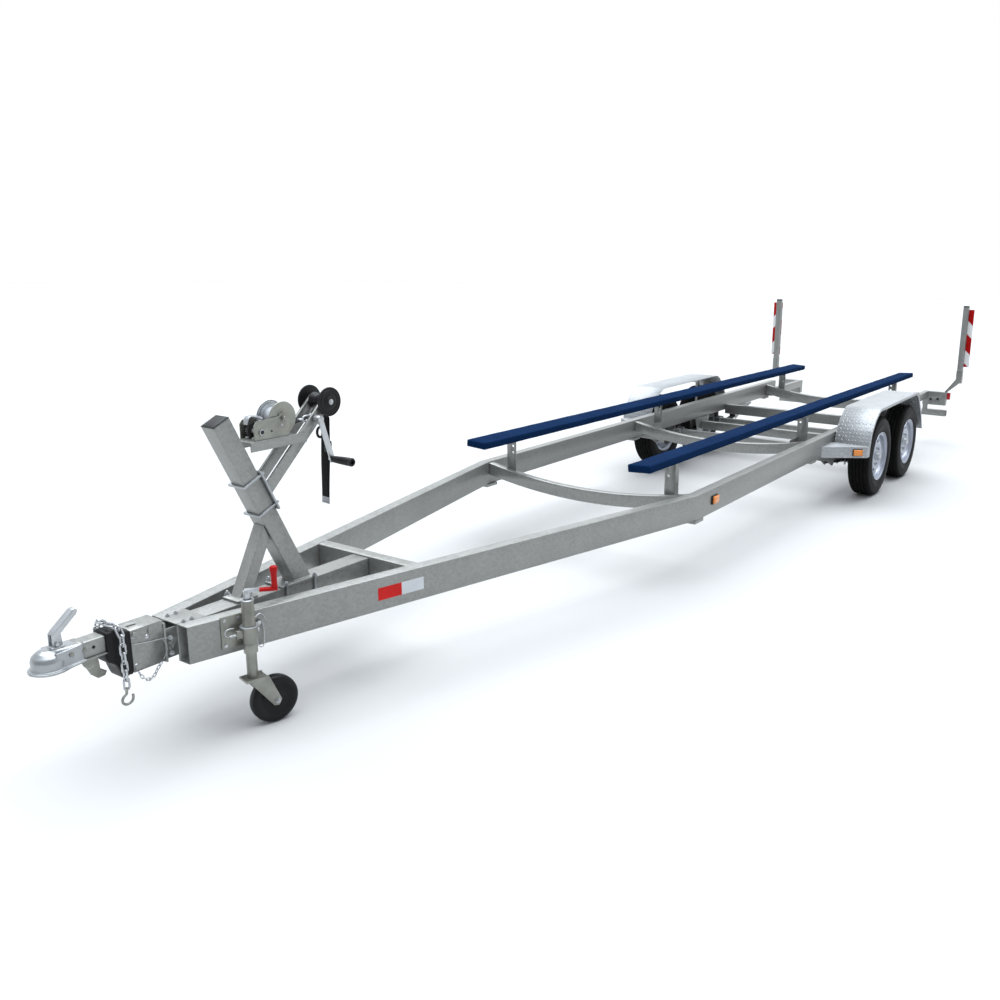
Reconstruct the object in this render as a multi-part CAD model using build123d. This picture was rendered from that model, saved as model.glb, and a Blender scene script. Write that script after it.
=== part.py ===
# Tandem boat trailer, nose towards +X, kerb-side wheels towards +Y, floor at Z = 0. Millimetres.
# The frame is drawn level, then pitched nose down to the height that its jack stands at.
import os
from math import atan2, cos, degrees, hypot, radians, sin, tan

from build123d import *

# frame
RAIL_H = 150.0
RAIL_W = 65.0
RAIL_WALL = 5.0
RAIL_POCKET = 320.0
RAIL_Z = 432.0
FRONT_X = 6263.0
FRONT_Y = 109.0
BEND_X = 3394.0
BEND_Y = 803.0
REAR_X = -1725.0
TOUCH = 0.3
NOSE_DOWN_DEG = 1.021
FLOOR_Z = 18.1

# drawbar
BEAM_W = 100.0
BEAM_H = 100.0
BEAM_DROP = 7.0
BEAM_FRONT_X = 6185.0
CROSSBAR_X = 5210.0
CROSSBAR_W = 65.0
CROSSBAR_TOP_DROP = 1.0
CROSSBAR_H = 129.0

# nose: filler over the beam, cheeks and a flange for the coupling
NOSE_FILLER_LEN = 113.0
NOSE_FILLER_T = 6.0
CHEEK_T = 8.0
CHEEK_BACK = 4.0
CHEEK_Z = (458.0, 573.0)
CHEEK_HOLE_R = 7.0
CHEEK_HOLE_INSET = 18.0
CHEEK_HOLES_Z = (500.0, 522.0)
FLANGE_T = 8.0
FLANGE_OVER = 4.0
FLANGE_Z = (450.0, 604.0)

# cross-members: x of the front face, height, drop of the top at the rails, sag in the middle
MEMBER_W = 50.0
MEMBERS_CURVED = [(3384.0, 80.0, 8.0, 74.0), (1420.0, 80.0, 12.0, 76.0), (-1445.0, 95.0, 18.0, 84.0)]
# straight ones: x of the front face, height, drop of the top below the rails' top
MEMBER_REAR = (-390.0, 92.0, 96.0)
MEMBER_MID = (156.0, 78.0, 184.0)
PAD_LEN = 110.0
PAD_T = 20.0
PAD_INSIDE = 6.0

# running gear
AXLES_X = 136.0
AXLE_SPACING = 850.0
TYRE_R = 323.0
TYRE_W = 185.0
RIM_SEAT_R = 178.0
RIM_LIP_H = 18.0
WHEEL_OUT_Y = 1073.0
AXLE_SQ = 55.0
HUB_R = 62.0
STUB_R = 25.0
BEAD_Y = 70.0
BEAD_H = 21.0
FLANGE_Y = 71.0
WELL_DEEP = 10.0
SEAT_FIT = 0.5
RUN_FIT = 0.08
HUB_BORE_R = STUB_R + RUN_FIT

# springs, slung under the axles
SPRING_Y = 762.0
SPRING_W = 50.0
SPRING_T = 38.0
SPRING_END_T = 14.0
SEAT_GAP = 0.8
EYE_R = 18.0
EYE_BORE_R = 9.0
EYE_Z = 334.0
EYE_GAP = 62.0
AXLE_END_Y = 870.0
DRUM_BRAKE_R = 128.0
HANGER_T = 6.0
HANGER_CLEAR = 0.5
HANGER_TOP = 99.0
# x and z of the hanger plates' corners, ahead of the front eye and behind the middle
HANGER_FRONT = [(-30.0, HANGER_TOP), (380.0, HANGER_TOP), (380.0, 82.0), (110.0, 18.0), (18.0, -28.0),
                (-18.0, -28.0)]
HANGER_MID = [(-150.0, HANGER_TOP), (150.0, HANGER_TOP), (100.0, -26.0), (-100.0, -26.0)]
SPRING_PLATE_LEN = 120.0
SPRING_PLATE_W = 92.0
SPRING_PLATE_T = 10.0
U_BOLT_R = 6.0
U_BOLT_X = 38.0
U_BOLT_TAIL = 22.0
BRAKE_PLATE_T = 12.0
STUB_INSET = 22.0

# coupling: sliding housing, boot, shank and ball socket
HOUSING_W = 96.0
HOUSING_X = 6320.0
HOUSING_LEN = 127.0
HOUSING_Z = (456.0, 617.0)
KEY_SLOT_W = 12.0
KEY_SLOT_DEEP = 6.0
KEY_SLOT_BACK = (14.0, 52.0)
NUT_R = 11.0
NUT_T = 7.0
# x back from the housing's front, z
HOUSING_NUTS = [(14.0, 598.0), (76.0, 594.0), (14.0, 474.0)]
BOOT_LEN = 87.0
BOOT_W = 100.0
BOOT_NOSE_W = 76.0
# x ahead of the housing, z, round the boot from its top rear corner
BOOT_SIDE = [(0.0, 624.0), (BOOT_LEN, 640.0), (BOOT_LEN, 514.0), (53.0, 498.0), (41.0, 443.0), (0.0, 447.0)]
SHANK_W = 64.0
SHANK_Z = (568.0, 626.0)
SHANK_NUT_R = 9.0
SHANK_NUT_T = 5.0
# x back from the ball, z
SHANK_NUTS = [(56.0, 604.0), (106.0, 600.0)]
BALL_X = 6716.0
BALL_R = 25.4
BALL_FIT = 0.3
BALL_DEEP = 20.0
DOME_R = 55.0
DOME_TOP_Z = 634.0
DOME_ROUND = 34.0
LIP_R = 67.0
LIP_T = 9.0
LIP_NECK_W = 80.0
LIP_INSET = 0.5
LEVER_W = 28.0
# x back from the ball, z above the dome's top
LEVER_SIDE = [(48.0, TOUCH), (14.0, TOUCH), (14.0, 48.0), (26.0, 58.0), (94.0, 114.0), (110.0, 104.0),
              (104.0, 92.0),
              (48.0, 42.0)]
HOOK_T = 10.0
# x back from the ball, z below the lip
HOOK_SIDE = [(98.0, TOUCH), (166.0, TOUCH), (171.0, 59.0), (194.0, 77.0), (186.0, 91.0), (160.0, 93.0),
             (138.0, 73.0),
             (126.0, 47.0)]

# safety chain: links draped over the boot, hook at the end
LINK_PITCH = 33.0
LINK_IN = 36.0
LINK_D = 8.0
LINK_GAP = 12.0
LINKS_HANGING = 6
# x, y, z of the links' ends over the boot, far side first
CHAIN_OVER = [(6500.0, -75.0, 587.0), (6500.0, -75.0, 620.0), (6500.0, -57.0, 647.0), (6500.0, -28.0, 650.0),
              (6500.0, 0.0, 650.0), (6498.0, 28.0, 650.0), (6496.0, 57.0, 647.0), (6496.0, 75.0, 620.0)]
SHACKLE_R = 25.0
SHACKLE_BORE_R = 16.0
SHACKLE_T = 9.0
SHACKLE_MOUTH = 24.0
SHACKLE_DROP = 38.0

# winch post
POST_SQ = 80.0
POST_LEN = 800.0
POST_WALL = 5.0
POST_FOOT_X = 5650.0
POST_LEAN_DEG = 25.4
PLATE_T = 8.0
PLATE_OVER = 16.0
CLAMP_LOW = 350.0
CLAMP_LEN = 190.0
CLAMP_BOLT_LOW = 28.0
CLAMP_BOLT_HIGH = 17.0
CLAMP_BOLT_TAIL = 12.0
ROD = 10.0
POST_GAP = 0.5
POST_SOCKET = 30.0
BOLT_CLEAR = 1.0
BOLT_TAIL = 16.0
FOOT_T = 10.0
FOOT_W = 116.0
FOOT_X = (5585.0, 5775.0)
FOOT_BOLTS_X = (5600.0, 5752.0)
BRACE_X = 5935.0
BRACE_LEAN_DEG = 26.5
BRACE_D = 52.0
BRACE_W = 62.0
BRACE_FOOT_X = (5890.0, 5990.0)
BRACE_FOOT_W = 100.0
BRACE_BOLT_X = 5960.0
ROLLER_X = 5472.0
ROLLER_Z = 1324.0
ROLLER_R = 62.0
ROLLER_SHAFT_R = 10.0
ARM_Y = 35.0
ARM_T = 12.0
ARM_D = 50.0
ARM_LOW = (5801.0, 1008.0)
PLATFORM_X = (5645.0, 5877.0)
PLATFORM_Z = (1171.0, 1211.0)
PLATFORM_T = 6.0
PLATFORM_LAP = 50.0
DRUM_X = 5704.0
DRUM_Z = 1284.0
DRUM_R = 68.0
DRUM_Y = 37.0
DRUM_DISC_T = 4.0
DRUM_CORE_R = 26.0
DRUM_SHAFT_R = 9.0
DRUM_SHAFT_END = 9.0
WINCH_Y = 45.0
WINCH_T = 4.0
WINCH_NOSE_R = 27.0
WINCH_SIDE = [(5851.0, 1211.5), (5680.0, 1211.5), (5674.0, 1224.0), (5682.0, 1288.0), (5706.0, 1310.0),
              (5728.0, 1296.0),
              (5837.0, 1288.0), (5851.0, 1273.0)]
WINCH_BASE_X = (5690.0, 5850.0)
WINCH_TIE = (5772.0, 1236.0)
WINCH_TIE_R = 6.0
DRIVE = (5816.0, 1243.0)
DRIVE_R = 11.0
DRIVE_END = 5.0
PINION_R = 20.0
PINION_W = 20.0
PINION_Y = -22.0
KEY_SQ = 9.0
STRAP_W = 50.0
STRAP_T = 3.0
# x and z along the strap's upper face, off the drum, round the arms and down
STRAP_LINE = [(5704.0, 1250.0), (5690.0, 1244.0), (5560.0, 1262.0), (5456.0, 1262.0), (5442.0, 1246.0),
              (5465.0, 868.0)]
ROLLER_CORE_R = 26.0
ROLLER_CORE_HALF = 14.0
ROLLER_NECK_R = 34.0
ROLLER_GAP = 3.0
# radius, distance out from the arm's outer face: flange, hub and nut
ROLLER_FLANGE = [(44.0, 4.0), (ROLLER_R, 10.0), (ROLLER_R, 18.0), (40.0, 20.0), (16.0, 22.0), (16.0, 28.0)]
CRANK_HUB = (5544.0, 1261.0)
CRANK_TIP = (5490.0, 1082.0)
CRANK_HUB_R = 15.0
CRANK_OUT = 34.0
CRANK_W = 24.0
CRANK_T = 8.0
CRANK_GRIP_R = 19.0
CRANK_GRIP_LEN = 117.8
CRANK_HUB_END = 2.0

# jack
JACK_X = 6053.4
JACK_GAP = 51.5
JACK_TUBE_R = 24.0
JACK_INNER_R = 20.5
JACK_PIVOT_Z = 500.0
PIVOT_R = 10.0
KING_R = 11.0
JACK_UP = 85.0
SWIVEL_R = 34.0
SWIVEL_Z = (478.0, 546.0)
SWIVEL_SKIN = 0.5
JACK_Z = (440.0, 652.0)
JACK_BORE_TOP_Z = 640.0
JACK_TOP_GAP = 3.0
MOUNT_T = 8.0
# x along the rail from the pivot, z
MOUNT_PLATES = [((-8.0, 92.0), (458.0, 588.0)), ((-30.0, -8.0), (470.0, 570.0))]
TURNTABLE_R = 34.0
TURNTABLE_T = 4.0
SWIVEL_BOSS_R = 24.0
PULL_LUG_X = (22.0, 52.0)
PULL_LUG_Y = (-10.0, 4.0)
PULL_LUG_Z = (505.0, 536.0)
CAP_R = 14.0
JACK_ARM_Z = 684.0
JACK_ARM_T = 10.0
JACK_ARM_W = 24.0
JACK_ARM_BACK = 8.0
CRANK_TURN_DEG = 62.0
CRANK_REACH = 103.0
JACK_GRIP_R = (10.0, 15.0)
JACK_GRIP_LEN = 86.0
FORK_Z = 336.0
FORK_T = 9.0
FORK_X = (-46.0, 40.0)
FORK_LEG_TOP_X = (-50.0, 34.0)
# x and z from the axle
FORK_LEG_END = [(14.0, -18.0), (-6.0, -20.0), (-18.0, 2.0)]
FORK_LEG_T = 5.0
FORK_WHEEL_GAP = 4.0
KING_H = 44.0
KING_TOP_GAP = 2.0
JACK_WHEEL_R = 96.0
JACK_WHEEL_W = 50.0
JACK_WHEEL_ROUND = 9.0
JACK_AXLE_R = 7.0
JACK_AXLE_END = 5.0
JACK_TRAIL = 79.4

# bunks
BUNK_W = 147.0
BUNK_T = 46.0
BUNK_Y = 583.0
BUNK_X = (-2000.0, 3710.0)
BUNK_TOP_Z = 757.5
BUNK_RISE = 0.0094
BUNK_TILT_DEG = 3.5
POST_W = 70.0
POST_T = 6.0
POST_LEG = 46.0
POST_ARM = 70.0
# each post's distance behind its cross-member and its middle's y
BUNK_POSTS = [(0.0, 588.0), (145.0, 628.0), (0.0, 582.0)]
POST_CLEAR = 8.0
POST_BELOW = 6.0
POST_LEG_UP = 40.0
POST_HOLES = [34.0, 78.0]
POST_HOLE_R = 9.0
POST_HOLE_OFF = 12.0

# guards
GUARD_Y = (822.0, 1098.0)
GUARD_T = 4.0
GUARD_LIP = 24.0
# ahead of the front tread and behind the rear one, and above the tyres' tops
GUARD_FRONT = [(122.0, -221.0), (110.0, -119.0), (78.0, -32.0), (1.0, 53.0), (-49.0, 85.0), (-119.0, 122.0)]
GUARD_REAR = [(-247.0, 122.0), (-182.0, 89.0), (-97.0, -3.0), (-22.0, -104.0), (50.0, -243.0)]
STEP_X = (1007.0, 1040.0, 1245.0)
STEP_H = 85.0
STEP_T = 4.0
STAY_X = (111.0, 151.0)
STAY_T = 6.0
STAY_LOW = 10.0
STAY_INSET = 30.0
REAR_STAY_UP = 29.0
REAR_STAY_H = 50.0
MARKER_T = 22.0
MARKER_H = 53.0
MARKER_LEN = 78.0
MARKER_IN = 78.0
RAIL_MARKER_X = 3169.0
RAIL_MARKER_Z = 514.0

# rear: arms along the rails' inner faces, carrying the light brackets and the guide posts
LIGHT_ARM_W = 50.0
LIGHT_ARM_H = 75.0
LIGHT_ARM_LAP = 215.0
LIGHT_ARM_WALL = 4.0
BRACKET_X = -2442.0
BRACKET_D = 61.7
BRACKET_OUT_Y = 925.0
BRACKET_Z = (370.0, 512.0)
BRACKET_T = 6.0
BRACKET_HOLE_R = 13.0
# y, z
BRACKET_HOLES = [(772.0, 430.0), (844.0, 436.0)]
DROP_W = 52.0
DROP_T = 7.5
BUMPER_OUT = 12.0
BUMPER_H = 63.0
BUMPER_DROP = 52.0
BUMPER_WALL = 5.0
BUMPER_HOLLOW = 137.0
LAMP_W = 75.0
LAMP_H = 74.0
LAMP_T = 30.0
LAMP_Z = 465.0
GUIDE_X = -2446.0
GUIDE_SQ = 52.0
GUIDE_Y = 1028.0
GUIDE_LOW_Z = 616.0
GUIDE_TOP_Z = 1415.0
GUIDE_SLEEVE_T = 3.0
GUIDE_SLEEVE_H = 136.0
GUIDE_CAP_T = 12.0
GUIDE_ARM_IN = 28.0
# the arm's corners above the post's foot, inner and outer
GUIDE_ARM_UP = (44.0, 16.0)
BOARD_W = 106.0
BOARD_H = 600.0
BOARD_T = 3.0
BOARD_OUT = 50.0
BOARD_TOP_GAP = 27.0

RAIL_TOP = RAIL_Z + RAIL_H
SPLAY = atan2(BEND_Y - FRONT_Y, FRONT_X - BEND_X)
PITCH = radians(NOSE_DOWN_DEG)
STANDING = (Align.CENTER, Align.CENTER, Align.MIN)


def block(x0, x1, y0, y1, z0, z1):
    return Pos((x0 + x1) / 2, (y0 + y1) / 2, (z0 + z1) / 2) * Box(abs(x1 - x0), abs(y1 - y0), abs(z1 - z0))


def rod_y(x, z, r, y0, y1):
    return Pos(x, (y0 + y1) / 2, z) * Rot(90, 0, 0) * Cylinder(r, abs(y1 - y0))


def rod_z(x, y, r, z0, z1):
    return Pos(x, y, (z0 + z1) / 2) * Cylinder(r, abs(z1 - z0))


def rod_x(y, z, r, x0, x1):
    return Pos((x0 + x1) / 2, y, z) * Rot(0, 90, 0) * Cylinder(r, abs(x1 - x0))


def plan(points, z0, z1):
    face = make_face(Polyline(*[(x, y, z0) for x, y in points], close=True))
    return extrude(face, amount=z1 - z0, dir=(0, 0, 1))


def side(points, y0, y1):
    face = make_face(Polyline(*[(x, y0, z) for x, z in points], close=True))
    return extrude(face, amount=y1 - y0, dir=(0, 1, 0))


def front(points, x0, x1):
    face = make_face(Polyline(*[(x0, y, z) for y, z in points], close=True))
    return extrude(face, amount=x1 - x0, dir=(1, 0, 0))


def mirror_y(shape):
    return mirror(shape, about=Plane.XZ)


def both(shape):
    return [shape, mirror_y(shape)]


def offset_line(points, t):
    line = []
    for i, (x, z) in enumerate(points):
        before = points[max(i - 1, 0)]
        after = points[min(i + 1, len(points) - 1)]
        into = (x - before[0], z - before[1]) if i else (after[0] - x, after[1] - z)
        away = (after[0] - x, after[1] - z) if i < len(points) - 1 else into
        normal_in = (-into[1] / hypot(*into), into[0] / hypot(*into))
        normal_out = (-away[1] / hypot(*away), away[0] / hypot(*away))
        mean = (normal_in[0] + normal_out[0], normal_in[1] + normal_out[1])
        reach = t / (mean[0] * normal_in[0] + mean[1] * normal_in[1])
        line.append((x + mean[0] * reach, z + mean[1] * reach))
    return line


def level_point(x, z):
    zf = z + FLOOR_Z * cos(PITCH)
    return x * cos(PITCH) - zf * sin(PITCH), x * sin(PITCH) + zf * cos(PITCH)


def floor_z(x):
    return FLOOR_Z + x * tan(PITCH)


nodes = {}


def node(name, *solids, attitude=True):
    flat = []
    for s in solids:
        flat += s if isinstance(s, list) else [s]
    nodes[name] = (flat, attitude)


# side rails, open at the nose
ACROSS = RAIL_W / cos(SPLAY)
BEND_IN = BEND_Y - RAIL_W
BEND_IN_X = FRONT_X - (BEND_IN - FRONT_Y + ACROSS) / tan(SPLAY)


def rail_y(x):
    return FRONT_Y + (FRONT_X - x) * tan(SPLAY)


rail = plan([(FRONT_X, FRONT_Y), (BEND_X, BEND_Y), (REAR_X, BEND_Y), (REAR_X, BEND_IN), (BEND_IN_X, BEND_IN),
             (FRONT_X, FRONT_Y - ACROSS)], RAIL_Z, RAIL_TOP)
wall = RAIL_WALL / cos(SPLAY)
px = FRONT_X - RAIL_POCKET
rail -= plan([(FRONT_X + 1, rail_y(FRONT_X + 1) - wall), (px, rail_y(px) - wall),
              (px, rail_y(px) - ACROSS + wall), (FRONT_X + 1, rail_y(FRONT_X + 1) - ACROSS + wall)],
             RAIL_Z + RAIL_WALL, RAIL_TOP - RAIL_WALL)
node("rail_left", rail)
node("rail_right", mirror_y(rail))

# drawbar beam and crossbar
beam_top = RAIL_TOP - BEAM_DROP
cross_front = CROSSBAR_X + CROSSBAR_W
node("tongue_beam", block(cross_front, BEAM_FRONT_X, -BEAM_W / 2, BEAM_W / 2, beam_top - BEAM_H, beam_top))
ya = rail_y(CROSSBAR_X) - ACROSS
yb = rail_y(cross_front) - ACROSS
node("drawbar_crossbar", plan([(CROSSBAR_X, -ya), (CROSSBAR_X, ya), (cross_front, yb), (cross_front, -yb)],
                              RAIL_TOP - CROSSBAR_TOP_DROP - CROSSBAR_H, RAIL_TOP - CROSSBAR_TOP_DROP))

# nose brackets: filler plate, side plates and flange
cheek_y = FRONT_Y - ACROSS - 0.5
filler_x = FRONT_X - NOSE_FILLER_LEN
filler = plan([(filler_x, rail_y(filler_x) - ACROSS), (FRONT_X, FRONT_Y - ACROSS),
               (FRONT_X, ACROSS - FRONT_Y),
               (filler_x, ACROSS - rail_y(filler_x))], RAIL_TOP - NOSE_FILLER_T, RAIL_TOP)
flange_x = HOUSING_X - FLANGE_T
cheek = block(BEAM_FRONT_X + CHEEK_BACK, flange_x, cheek_y - CHEEK_T, cheek_y, *CHEEK_Z)
for hole_z in CHEEK_HOLES_Z:
    cheek -= rod_y(flange_x - CHEEK_HOLE_INSET, hole_z, CHEEK_HOLE_R, cheek_y - 2 * CHEEK_T,
                   cheek_y + CHEEK_T)
flange_y = HOUSING_W / 2 + FLANGE_OVER
flange = block(flange_x, HOUSING_X, -flange_y, flange_y, *FLANGE_Z)
node("nose_brackets", filler, flange + cheek + mirror_y(cheek))

# sliding coupling: housing, boot, shank and ball socket
housing_front = HOUSING_X + HOUSING_LEN
housing_y = HOUSING_W / 2
housing = block(HOUSING_X, housing_front, -housing_y, housing_y, *HOUSING_Z)
housing -= block(housing_front - KEY_SLOT_BACK[1], housing_front - KEY_SLOT_BACK[0], -KEY_SLOT_W / 2,
                 KEY_SLOT_W / 2,
                 HOUSING_Z[1] - KEY_SLOT_DEEP, HOUSING_Z[1] + KEY_SLOT_DEEP)
for back, z in HOUSING_NUTS:
    nut = rod_y(housing_front - back, z, NUT_R, housing_y, housing_y + NUT_T)
    housing += nut + mirror_y(nut)
node("coupling_housing", housing)
shank_rear = housing_front + BOOT_LEN
boot = side([(housing_front + x, z) for x, z in BOOT_SIDE], -BOOT_W / 2, BOOT_W / 2)
boot &= plan([(housing_front, -BOOT_W / 2), (shank_rear, -BOOT_NOSE_W / 2), (shank_rear, BOOT_NOSE_W / 2),
              (housing_front, BOOT_W / 2)], HOUSING_Z[0] - BOOT_W, HOUSING_Z[1] + BOOT_W)
node("coupling_boot", boot)

shank_y = SHANK_W / 2
shank_low, shank_top = SHANK_Z
lip_low = shank_low - LIP_T
shank = block(shank_rear, BALL_X, -shank_y, shank_y, shank_low, shank_top)
dome = rod_z(BALL_X, 0, DOME_R, shank_low, DOME_TOP_Z)
dome = fillet(dome.edges().group_by(Axis.Z)[-1], DOME_ROUND)
lip = rod_z(BALL_X, 0, LIP_R, lip_low, shank_low)
lip_y = LIP_R - LIP_INSET
lip += plan([(BALL_X, lip_y), (shank_rear, LIP_NECK_W / 2), (shank_rear, -LIP_NECK_W / 2), (BALL_X, -lip_y)],
            lip_low, shank_low)
head = shank + dome + lip
head -= Pos(BALL_X, 0, shank_low + BALL_DEEP) * Sphere(BALL_R + BALL_FIT)
head -= rod_z(BALL_X, 0, BALL_R + BALL_FIT, lip_low - LIP_T, shank_low + BALL_DEEP)
for back, z in SHANK_NUTS:
    nut = rod_y(BALL_X - back, z, SHANK_NUT_R, shank_y, shank_y + SHANK_NUT_T)
    head += nut + mirror_y(nut)
node("coupling_head", head)
lever = [(BALL_X - back, DOME_TOP_Z + up) for back, up in LEVER_SIDE]
node("coupling_lever", side(lever, -LEVER_W / 2, LEVER_W / 2))
hook = [(BALL_X - back, lip_low - down) for back, down in HOOK_SIDE]
node("override_hook", side(hook, -HOOK_T / 2, HOOK_T / 2))


def link():
    outer = SlotOverall(LINK_IN + 2 * LINK_D, LINK_GAP + 2 * LINK_D)
    inner = SlotOverall(LINK_IN, LINK_GAP)
    return extrude(outer - inner, amount=LINK_D / 2, both=True)


over_x, over_y, over_z = CHAIN_OVER[-1]
drape = CHAIN_OVER + [(over_x, over_y, over_z - LINK_PITCH * i) for i in range(1, LINKS_HANGING + 1)]
chain = []
for i, (start, end) in enumerate(zip(drape, drape[1:])):
    start = Vector(*start)
    end = Vector(*end)
    along = (end - start).normalized()
    roll = Vector(1, 0, 0) if i % 2 else Vector(1, 0, 0).cross(along)
    chain.append(Plane(origin=(start + end) * 0.5, x_dir=along, z_dir=roll) * link())
shackle_z = drape[-1][2] - SHACKLE_DROP
shackle = Plane(origin=(over_x, over_y, shackle_z), x_dir=(1, 0, 0), z_dir=(0, -1, 0))
ring = shackle * (extrude(Circle(SHACKLE_R) - Circle(SHACKLE_BORE_R), amount=SHACKLE_T / 2, both=True)
                  - Pos(-SHACKLE_R, SHACKLE_MOUTH / 2, 0) * Box(2 * SHACKLE_R - LINK_D, SHACKLE_MOUTH,
                                                                2 * SHACKLE_T))
stem = block(over_x - LINK_D / 2, over_x + LINK_D / 2, over_y - SHACKLE_T / 2, over_y + SHACKLE_T / 2,
             shackle_z + SHACKLE_BORE_R + 2, shackle_z + SHACKLE_DROP - LINK_D / 2)
chain.append(ring + stem)
node("safety_chain", chain)

# cross-members between the rails
curved = []
for x, height, drop, sag in MEMBERS_CURVED:
    top = RAIL_TOP - drop
    ends = [Vector(x, y, z) for y, z in ((-BEND_IN, top), (0, top - sag), (BEND_IN, top))]
    low = [v - Vector(0, 0, height) for v in ends]
    ring = [ThreePointArc(*ends), Line(ends[2], low[2]), ThreePointArc(low[2], low[1], low[0]),
            Line(low[0], ends[0])]
    curved.append(extrude(make_face(ring), amount=MEMBER_W, dir=(-1, 0, 0)))
node("crossmembers_curved", curved)
mid_x, mid_h, mid_drop = MEMBER_MID
rear_x, rear_h, rear_drop = MEMBER_REAR
mid_y = SPRING_Y - SPRING_W / 2 - HANGER_CLEAR - HANGER_T - TOUCH
node("crossmembers_straight",
     block(mid_x - MEMBER_W, mid_x, -mid_y, mid_y, RAIL_TOP - mid_drop - mid_h, RAIL_TOP - mid_drop),
     block(rear_x - MEMBER_W, rear_x, -BEND_IN, BEND_IN, RAIL_TOP - rear_drop - rear_h, RAIL_TOP - rear_drop))
pads = []
for front_x, height, drop, sag in MEMBERS_CURVED:
    x = front_x - MEMBER_W / 2
    pads += both(block(x - PAD_LEN / 2, x + PAD_LEN / 2, BEND_IN - PAD_INSIDE, BEND_Y, RAIL_Z - PAD_T,
                       RAIL_Z - TOUCH))
node("rail_pads", pads)

# winch post, brace, clamp and arms
lean = Pos(POST_FOOT_X, 0, RAIL_TOP) * Rot(0, POST_LEAN_DEG, 0)
post_half = POST_SQ / 2
post_back = post_half + PLATE_T + POST_GAP
foot_top = beam_top + FOOT_T
below = block(FOOT_X[0] - POST_LEN, BRACE_FOOT_X[1] + POST_LEN, -POST_SQ, POST_SQ, foot_top - POST_LEN,
              foot_top)
post_in = POST_SQ - 2 * POST_WALL
post = lean * (Pos(0, 0, (POST_LEN - POST_SQ) / 2) * Box(POST_SQ, POST_SQ, POST_LEN + POST_SQ))
post -= lean * (Pos(0, 0, POST_LEN) * Box(post_in, post_in, 2 * POST_SOCKET))
brace = Pos(BRACE_X, 0, foot_top) * Rot(0, -BRACE_LEAN_DEG, 0) * Box(BRACE_D, BRACE_W, POST_LEN)
behind_post = lean * (Pos(post_half - POST_LEN / 2, 0, 0) * Box(POST_LEN, 3 * POST_SQ, 3 * POST_LEN))
foot_bolts = []
for x in FOOT_BOLTS_X + (BRACE_BOLT_X,):
    bolt_y = (BEAM_W + ROD) / 2 + BOLT_CLEAR
    bolt_low = beam_top - BEAM_H - BOLT_CLEAR
    leg = block(x - ROD / 2, x + ROD / 2, bolt_y - ROD / 2, bolt_y + ROD / 2, bolt_low - ROD,
                foot_top + BOLT_TAIL)
    yoke = block(x - ROD / 2, x + ROD / 2, -bolt_y, bolt_y, bolt_low - ROD, bolt_low)
    foot_bolts.append(leg + mirror_y(leg) + yoke)
post_foot = block(*FOOT_X, -FOOT_W / 2, FOOT_W / 2, beam_top, foot_top) - foot_bolts[0] - foot_bolts[1]
brace_foot = block(*BRACE_FOOT_X, -BRACE_FOOT_W / 2, BRACE_FOOT_W / 2, beam_top, foot_top) - foot_bolts[2]
node("winch_post", post - below + post_foot)
node("winch_brace", brace - below - behind_post + brace_foot)
node("foot_u_bolts", foot_bolts)

clamp_x = -post_half - POST_GAP - PLATE_T / 2
clamp_w = POST_SQ + 2 * PLATE_OVER
clamp = Pos(clamp_x, 0, CLAMP_LOW + CLAMP_LEN / 2) * Box(PLATE_T, clamp_w, CLAMP_LEN)
bolt_out = post_half + POST_GAP + ROD / 2
bolt_back = post_back + CLAMP_BOLT_TAIL
for z in (CLAMP_LOW + CLAMP_BOLT_LOW, CLAMP_LOW + CLAMP_LEN - CLAMP_BOLT_HIGH):
    clamp += Pos(bolt_out, 0, z) * Box(ROD, 2 * bolt_out + ROD, ROD)
    for y in (-bolt_out, bolt_out):
        clamp += Pos((bolt_out + ROD / 2 - bolt_back) / 2, y, z) * Box(bolt_out + ROD / 2 + bolt_back, ROD,
                                                                       ROD)
node("winch_clamp", lean * clamp)

arm_low = Vector(ARM_LOW[0], 0, ARM_LOW[1])
arm_run = Vector(ROLLER_X, 0, ROLLER_Z) - arm_low
arm_frame = Plane(origin=arm_low, x_dir=(0, 1, 0), z_dir=arm_run.normalized())
arm_mid_y = ARM_Y + ARM_T / 2
bar = Pos(arm_mid_y, 0, (arm_run.length - ARM_D) / 2) * Box(ARM_T, ARM_D, arm_run.length + ARM_D)
bar += Pos(arm_mid_y, 0, arm_run.length) * Rot(0, 90, 0) * Cylinder(ARM_D / 2, ARM_T)
arm = arm_frame * bar
arm -= lean * (Pos(POST_LEN / 2 - post_back, 0, 0) * Box(POST_LEN, 3 * POST_SQ, 3 * POST_LEN))
arm -= rod_y(ROLLER_X, ROLLER_Z, ROLLER_SHAFT_R + RUN_FIT, 0, 2 * ARM_Y + ARM_T)
node("roller_arms", both(arm))

arm_out = ARM_Y + ARM_T
platform_low, platform_top = PLATFORM_Z
platform_y = arm_out + PLATFORM_T
platform = block(*PLATFORM_X, -platform_y, platform_y, platform_top - PLATFORM_T, platform_top)
flap = block(PLATFORM_X[0] - PLATFORM_LAP, PLATFORM_X[1], arm_out + TOUCH, platform_y, platform_low,
             platform_top)
node("winch_platform", platform + flap + mirror_y(flap))

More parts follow.
